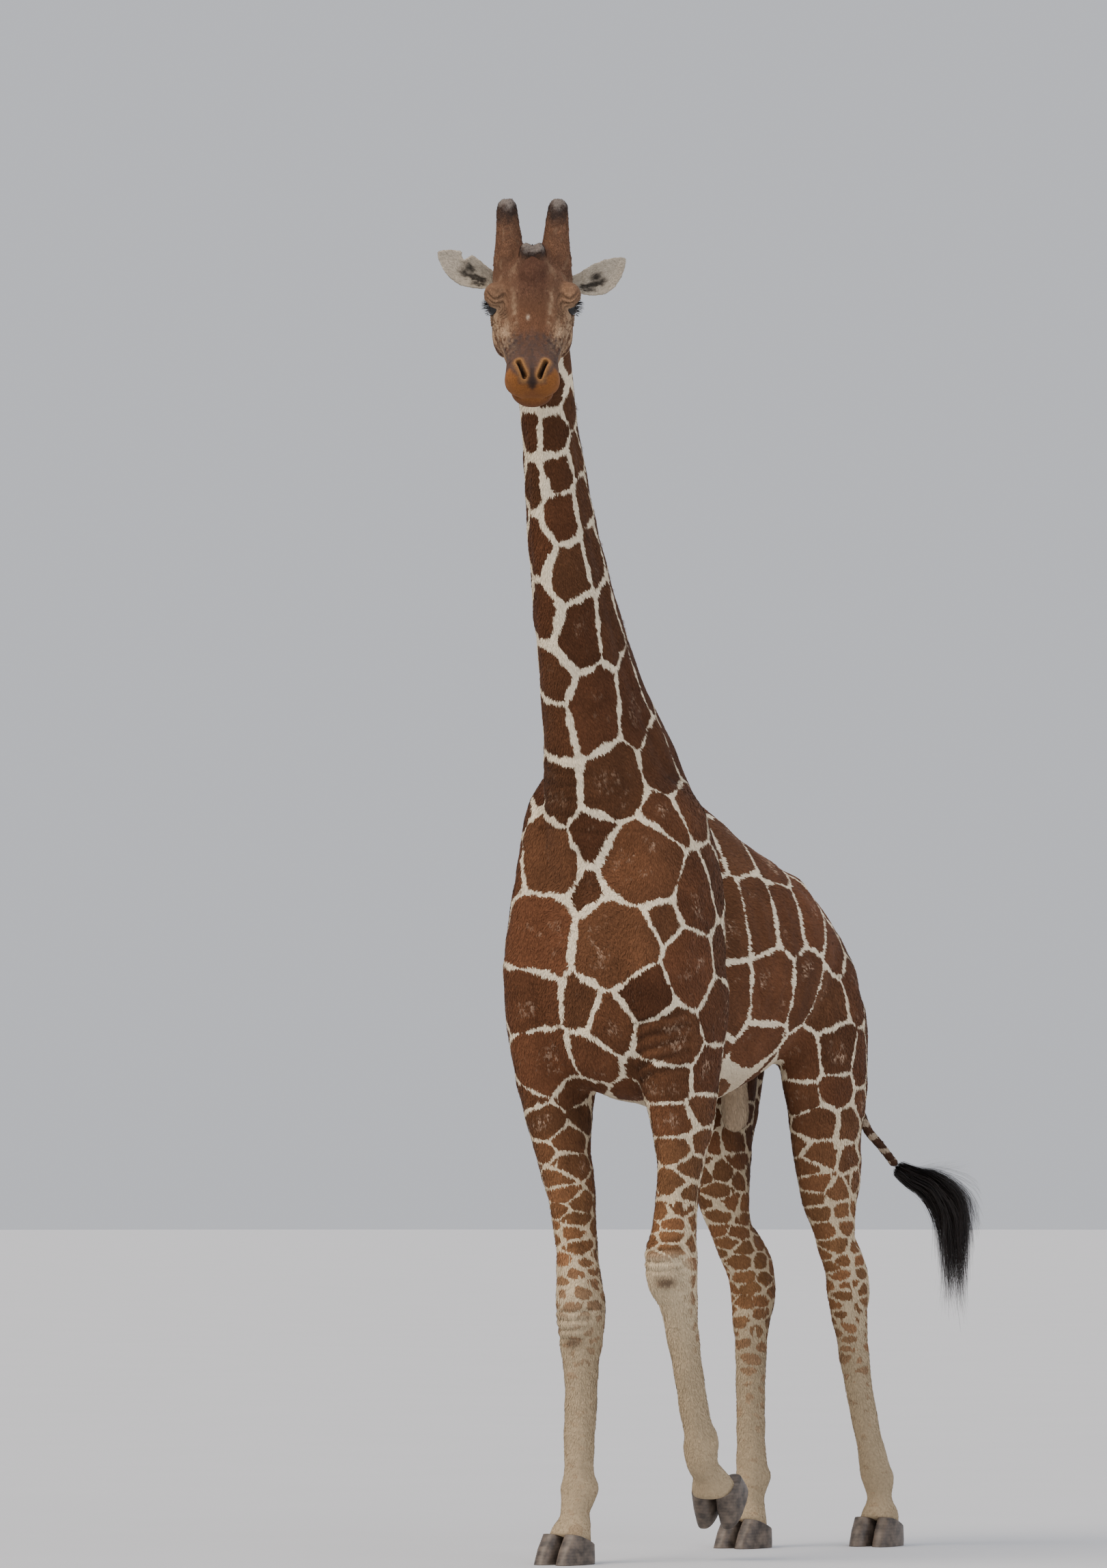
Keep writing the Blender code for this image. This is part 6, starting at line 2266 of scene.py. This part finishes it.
@dataclass
class TailHair:
    """The black tuft of the tail, blown out behind."""

    strands: int = 3600
    locks: int = 110
    levels: int = 12
    spread: float = 0.045

    def build(self, shift: Array, rng: np.random.Generator) -> None:
        """Hang strands along the tuft's own path, each at its place within the section.

        A strand d beyond the tuft's side is held to s tanh(d / s), s the spread allowed there.
        """
        value, slope = spline(TAIL_TUFT, 200)
        _tangent, toward, across = path_axes(slope, FRONT * -1.0)
        lock = rng.integers(0, self.locks, self.strands)
        lock_angle = rng.uniform(0.0, TAU, self.locks)
        lock_radius = 1.15 * np.sqrt(rng.random(self.locks))
        lock_end = rng.uniform(0.42, 1.0, self.locks) ** 0.8
        lock_drift = rng.normal(scale=1.0, size=(self.locks, 3)) * (0.5, 0.6, 1.0)
        blown = rng.random(self.locks) < 0.30
        lock_end[blown] = rng.uniform(0.30, 0.62, blown.sum())
        lock_drift[blown] += rng.uniform(0.6, 2.1, (blown.sum(), 1)) * (0.9, 1.0, 0.8)
        angle, radius = lock_angle[lock], lock_radius[lock] * 0.95
        stray = rng.normal(scale=1.0, size=(self.strands, 3))
        start = rng.uniform(0.0, 0.20, self.strands) ** 1.3
        end = np.maximum(lock_end[lock] * rng.uniform(0.85, 1.05, self.strands),
                         start + 0.15).clip(0.0, 1.0)
        wave = rng.uniform(0.0, TAU, self.strands)
        inner = float(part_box("tail_tuft")[1][0]) - shift[0] - 0.018
        rows = []
        for step in np.linspace(0.0, 1.0, self.levels):
            index = ((start + (end - start) * step) * (len(value) - 1)).astype(int)
            row = value[index]
            drift = 0.10 * np.sin(wave + step * 6.0)
            side = row[:, 3] * radius * np.cos(angle + drift)
            depth = np.where(np.sin(angle) > 0, row[:, 4], row[:, 5])
            depth = depth * radius * np.sin(angle + drift)
            spot = row[:, :3] + across[index] * side[:, None] + toward[index] * depth[:, None]
            spot += stray * 0.004 + lock_drift[lock] * 0.040 * step**1.5 + stray * 0.012 * step**2
            over = np.maximum(spot[:, 0] - inner, 0.0)
            spot[:, 0] += self.spread * np.tanh(over / self.spread) - over
            rows.append(spot)
        turn = rng.uniform(0.0, math.pi, self.strands)[:, None]
        wing = unit(np.cos(turn) * (1.0, 0.0, 0.0) + np.sin(turn) * (0.0, 1.0, 0.0))
        taper = np.linspace(1.0, 0.12, self.levels)
        surface = blades(rows[0], [row - rows[0] for row in rows[1:]], wing,
                         rng.uniform(0.0012, 0.0026, self.strands), taper)
        obj = new_object("tail_hair", surface, shift)
        put_value(obj, "lock_tone", np.repeat(rng.uniform(0.0, 1.0, self.strands), 2 * self.levels))
        finish = HairFinish("long_black_tail_hair", "0B0908", "2C221D")
        hand_in(obj, finish.make(), "tail_hair", "tail_tuft")


@dataclass
class Eyes:
    """Two wet dark eyeballs and their long straight lashes."""

    lashes: int = 110

    def build(self, shift: Array, rng: np.random.Generator) -> None:
        """Set the eyeballs and lashes of both sides."""
        wet = EyeFinish().make()
        hair = HairFinish("black_lashes", "050404", "17110E").make()
        for side, label in ((-1.0, "right"), (1.0, "left")):
            centre = HEAD.place((0.0, 0.0, side * EYE_ACROSS))
            globe = ball(centre, HEAD.axes, (EYE_RADIUS,) * 3, 48)
            obj = new_object("eyeball_" + label, globe, shift)
            pupil = HEAD.place((0.004, -0.002, side * (EYE_ACROSS + EYE_RADIUS)))
            points, _normals = read_points(obj)
            put_value(obj, "pupil_gap", np.linalg.norm(points - shift - pupil, axis=1))
            mend_normals(obj)
            hand_in(obj, wet, "eye", "eye_" + label)
            self.fringe(side, label, shift, hair, rng)

    def fringe(self, side: float, label: str, shift: Array, hair: bpy.types.Material,
               rng: np.random.Generator) -> None:
        """Upper lashes, long, out and down; lower ones shorter and fewer."""
        upper = rng.random(self.lashes) < 0.72
        along = rng.uniform(-0.95, 0.95, self.lashes)
        half_length, half_height = 0.0265, 0.0175
        over = np.sqrt(1.0 - along**2) * half_height * np.where(upper, 1.05, -0.95)
        spot = np.stack((along * half_length, over - 0.16 * along * half_length,
                         np.zeros(self.lashes)), -1)
        spot[:, 2] = np.sqrt(np.maximum((EYE_RADIUS + 0.002) ** 2 - spot[:, 0] ** 2
                                        - spot[:, 1] ** 2, 1e-6))
        length = np.where(upper, 0.030, 0.014)[:, None] * rng.uniform(0.75, 1.1, (self.lashes, 1))
        lean = np.stack((along * 0.55, np.where(upper, 0.15, -0.55), np.ones(self.lashes)), -1)
        lean = unit(lean + rng.normal(scale=0.13, size=lean.shape))
        droop = np.zeros((self.lashes, 3))
        droop[:, 1] = np.where(upper, -0.0045, 0.001)
        mirror = np.array((1.0, 1.0, side))
        place = HEAD.place((spot + (0.0, 0.0, EYE_ACROSS)) * mirror)
        steps = [
            ((lean * length * share + droop * share**2) * mirror) @ HEAD.axes
            for share in (0.35, 0.7, 1.0)
        ]
        wing = unit(np.cross(lean * mirror @ HEAD.axes, rng.normal(size=(self.lashes, 3))))
        surface = blades(place, steps, wing, np.full(self.lashes, 0.0016), (1.0, 0.9, 0.6, 0.15))
        obj = new_object("lashes_" + label, surface, shift)
        put_value(obj, "lock_tone", np.repeat(rng.uniform(0.0, 1.0, self.lashes), 8))
        hand_in(obj, hair, "eye")


def mend_normals(obj: bpy.types.Object) -> bpy.types.Object:
    """Turn a closed piece's faces outward."""
    with editing(obj) as mesh:
        bmesh.ops.recalc_face_normals(mesh, faces=mesh.faces[:])
    return obj


@dataclass
class Horns:
    """The two tall horns and the low knob of the brow."""

    hairs: Coat = Coat("horn_hair", (), 5_000, 0.012, 0.0034, 0.22, 0.30, 0.0006)

    def bristle(self, obj: bpy.types.Object, points: Array, normals: Array, tone: Array, name: str,
                shift: Array, rng: np.random.Generator) -> bpy.types.Object:
        """Short hair up the sides of a horn, thin over its bald top."""
        corners = triangles_of(obj)
        wanted = smooth_step(1.02, 0.86, tone[corners[:, 0]]) + 0.06
        roots = scatter(points, corners, wanted, self.hairs.tufts, rng)
        root, normal = roots.read(points), unit(roots.read(normals))
        up = np.tile(HEAD.axes[1] - 0.35 * HEAD.axes[0], (len(root), 1))
        hair = new_object("horn_hair_" + name,
                          self.hairs.lay(root, normal, up, np.ones(len(root)), rng), shift)
        put_value(hair, "lock_tone", np.repeat(tone[roots.nearest()], 4))
        return hair

    def build(self, shift: Array, rng: np.random.Generator) -> None:
        """Loft the horns, roughen them, and mark how far up each point is."""
        finish = HornFinish().make()
        for name, rows, side in (("right", HORN, -1.0), ("left", HORN, 1.0),
                                 ("median", MEDIAN_HORN, 1.0)):
            horn = loft(in_head(rows, side), HEAD.axes[0], 90, 72)
            obj = new_object("horn_skin_" + name, horn)
            mend_normals(obj)
            points, normals = read_points(obj)
            local = HEAD.local(points)
            high, low = rows[-1][1], rows[0][1]
            tone = (local[:, 1] - low) / (high - low)
            rise = 0.0013 * ripple(points, 0.028, 41) + 0.0009 * ripple(points, 0.009, 42)
            rise -= 0.0012
            if name == "median":
                rise += 0.013 * (np.exp(-(((np.abs(local[:, 2]) - 0.029) / 0.016) ** 2))
                                 - 0.25) * smooth_step(0.2, 0.6, tone)
                tone = 0.40 + 0.66 * tone
            else:
                rise += 0.0010 * np.exp(-(((tone - 0.86) / 0.07) ** 2)) - 0.001
            points = points + normals * rise[:, None]
            hair = self.bristle(obj, points, normals, tone, name, shift, rng)
            write_points(obj, points + shift)
            put_value(obj, "lock_tone", tone)
            hand_in(hair, finish, "horn")
            hand_in(obj, finish, "horn", "horn_" + name)


@dataclass
class Hooves:
    """Eight claws, flat on the ground, cut at the top where the hair starts."""

    sides: int = 56
    levels: int = 40

    def build(self, body: BodySkin, shift: Array) -> None:
        """Carry rounded sections up each claw and cut them at the coronet."""
        finish = HoofFinish().make()
        shape = np.array(CLAW)
        height = np.linspace(0.0, shape[-1, 0], self.levels)
        angle = np.linspace(0.0, TAU, self.sides, endpoint=False)
        cosine, sine = np.cos(angle), np.sin(angle)
        power = 2.0 / 2.5       # between an ellipse and a rounded square
        inset = 0.0008          # keeps the ridges inside the claw's solid
        read = [np.interp(height, shape[:, 0], shape[:, i])[:, None] for i in range(1, 5)]
        ring = (0.0006 * np.sin(height * TAU / 0.008) * smooth_step(0.0, 0.01, height))[:, None]
        half = read[1] - inset + ring
        for foot, frame in FEET.items():
            point, normal = body.coronet_plane(frame)
            for side, label in ((-1.0, "right"), (1.0, "left")):
                across = side * CLAW_OFFSET + half * bent(cosine, power)[None]
                reach = np.where(sine > 0.0, read[2], read[3]) - inset + ring
                reach = reach * bent(sine, power)[None]
                level = np.broadcast_to(height[:, None], across.shape)
                rings = frame.place(np.stack((across, -read[0] - reach, level), axis=-1))
                obj = mend_normals(new_object("claw_%s_%s" % (foot, label), tube(rings), shift))
                self.cut(obj, point + shift, normal)
                hand_in(obj, finish, "hoof", "%s_hoof_%s" % (foot, label))

    @staticmethod
    def cut(obj: bpy.types.Object, point: Array, normal: Array) -> None:
        """Cut a claw's top off and close it."""
        with editing(obj) as mesh:
            geom = [*mesh.verts, *mesh.edges, *mesh.faces]
            cut_mesh(mesh, geom, (point, normal), True, clear_outer=True)
            split_faces(mesh, 4)


# ------------------------------------------------------------------ studio
@dataclass
class Studio:
    """Pale floor, soft light from an overcast sky, and the camera."""

    eye: tuple = (14.9197, -26.0271, 1.6)
    yaw: float = 30.0
    tilt: float = 2.641
    lens: float = 180.16

    def build(self, shift: Array) -> None:
        """Set everything up."""
        self.floor()
        self.sky()
        self.sun("key", (-3.5, -7.0, 9.0), 2.55, 38.0, "FFF0DF")
        self.sun("fill", (8.0, -4.0, 5.0), 1.00, 70.0, "F2F2FA")
        self.sun("back", (1.0, 9.0, 6.0), 0.60, 60.0, "F4F6FF")
        data = bpy.data.cameras.new("camera")
        data.lens, data.sensor_width, data.clip_end = self.lens, 36.0, 200.0
        camera = bpy.data.objects.new("camera", data)
        camera.location = np.array(self.eye) + shift
        camera.rotation_euler = (math.radians(90.0 + self.tilt), 0.0, math.radians(self.yaw))
        bpy.context.scene.collection.objects.link(camera)
        bpy.context.scene.camera = camera

    @staticmethod
    def floor() -> None:
        """A round floor: rings of quads about the middle, closed with triangles."""
        turn = np.linspace(0.0, TAU, 96, endpoint=False)
        reach = np.array((0.5, 4.0, 12.0, 40.0, 120.0))[:, None]
        level = np.zeros((len(reach), len(turn)))
        rings = np.stack((reach * np.cos(turn), reach * np.sin(turn), level), axis=-1)
        grid = np.arange(level.size).reshape(level.shape)
        quads = grid_quads(np.concatenate((grid, grid[:, :1]), axis=1))[:, (0, 3, 2, 1)]
        tris = np.stack((np.full(len(turn), level.size), grid[0], np.roll(grid[0], -1)), axis=-1)
        points = np.concatenate((rings.reshape(-1, 3), [(0.0, 0.0, 0.0)]))
        obj = new_object("studio_floor", Surface(points, quads, tris))
        obj.data.materials.append(FloorFinish().make())

    @staticmethod
    def sky() -> None:
        """A pale grey-blue world."""
        world = bpy.data.worlds.new("studio")
        world.use_nodes = True
        bpy.context.scene.world = world
        back = world.node_tree.nodes["Background"]
        back.inputs["Color"].default_value = colour("CED0D6")
        back.inputs["Strength"].default_value = 1.02

    @staticmethod
    def sun(name: str, place: Sequence[float], strength: float, width: float, tone: str) -> None:
        """A wide soft light from one side, even over animal and floor."""
        data = bpy.data.lights.new(name, "SUN")
        data.energy, data.angle, data.color = strength, math.radians(width), linear(tone)
        lamp = bpy.data.objects.new(name, data)
        lamp.location = place
        lamp.rotation_euler = (-Vector(place)).to_track_quat("-Z", "Y").to_euler()
        bpy.context.scene.collection.objects.link(lamp)


# ------------------------------------------------------------------ the whole animal
SKIN_NODES = (
    "trunk", "neck_lower", "neck_upper", "head", "ear_left", "ear_right", "tail",
    *(leg + part for leg in ("fore_right", "fore_left", "hind_right", "hind_left")
      for part in ("_upper_leg", "_lower_leg")),
)


@dataclass
class Giraffe:
    """Skin, coat and every other piece of the animal."""

    shift: Array
    coats: tuple[Coat, ...] = (
        Coat("coat_neck", (Region.NECK,), 96_000, 0.018, 0.0046, 0.20),
        Coat("coat_trunk", (Region.TRUNK, Region.SCROTUM), 98_000, 0.022, 0.0070, 0.17),
        Coat("coat_forelegs", (Region.FORE_RIGHT, Region.FORE_LEFT), 96_000, 0.018, 0.0052, 0.20),
        Coat("coat_hindlegs", (Region.HIND_RIGHT, Region.HIND_LEFT, Region.TAIL), 96_000, 0.018,
             0.0054, 0.20),
        Coat("coat_head", (Region.HEAD,), 98_000, 0.0100, 0.0030, 0.12, 0.22, 0.0006, 0.24),
    )

    def build(self) -> None:
        """Build all pieces in order."""
        body = BodySkin()
        hide = Hide(bridge_skins(body.build(), HeadSkin().build()))
        places = find_places(hide.points)
        markings = Markings()
        markings.sow(hide.points, places)
        looks = looks_of(hide.points, places, markings)
        finish = HideFinish().make()
        rng = np.random.default_rng(SEED)
        for coat in self.coats:
            obj = coat.grow(hide, places, looks, self.shift, self.hair_length(places), rng)
            hand_in(obj, finish, "head_coat" if coat.name == "coat_head" else "coat")
        looks.put_on(hide.obj, hide.points)
        write_points(hide.obj, hide.points + self.shift)
        hide.obj.name = "skin"
        put_map(hide.obj, unwrap(places))
        hand_in(hide.obj, finish, "coat", *SKIN_NODES)
        Mane().build(self.shift, rng)
        TailHair().build(self.shift, rng)
        Eyes().build(self.shift, rng)
        Horns().build(self.shift, rng)
        Hooves().build(body, self.shift)

    @staticmethod
    def hair_length(places: Places) -> Callable[[Array, Array], Array]:
        """Length factors: short on muzzle, lids and feet, none on eyes, nostrils and soles."""

        def factor(points: Array, index: Array) -> Array:
            local = HEAD.local(points)
            on_head = places.on(Region.HEAD)[index]
            folded = np.stack((local[:, 0], local[:, 1], np.abs(local[:, 2])), axis=-1)
            face = 1.15 - 0.75 * smooth_step(0.10, 0.34, folded[:, 0])
            eye = np.linalg.norm(folded - (0.0, 0.0, EYE_ACROSS), axis=1)
            face = face * smooth_step(0.033, 0.050, eye)
            bare = to_path(folded, NOSTRIL) < 0.014
            face = np.where(bare, 0.0, face)
            feet = 1.0 - 0.45 * smooth_step(0.7, 0.2, points[:, 2])
            out = np.where(on_head, face, feet)
            for frame in FEET.values():
                point, normal = BodySkin().coronet_plane(frame)
                near = np.linalg.norm(points - point, axis=1) < 0.16
                out = np.where(near & ((points - point) @ normal < 0.006), 0.0, out)
            return out

        return factor


def main() -> None:
    """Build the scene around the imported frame."""
    logging.basicConfig(level=logging.INFO, format="%(name)s: %(message)s")
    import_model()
    shift = model_shift()
    Studio().build(shift)
    Giraffe(shift).build()


if __name__ == "__main__":
    main()
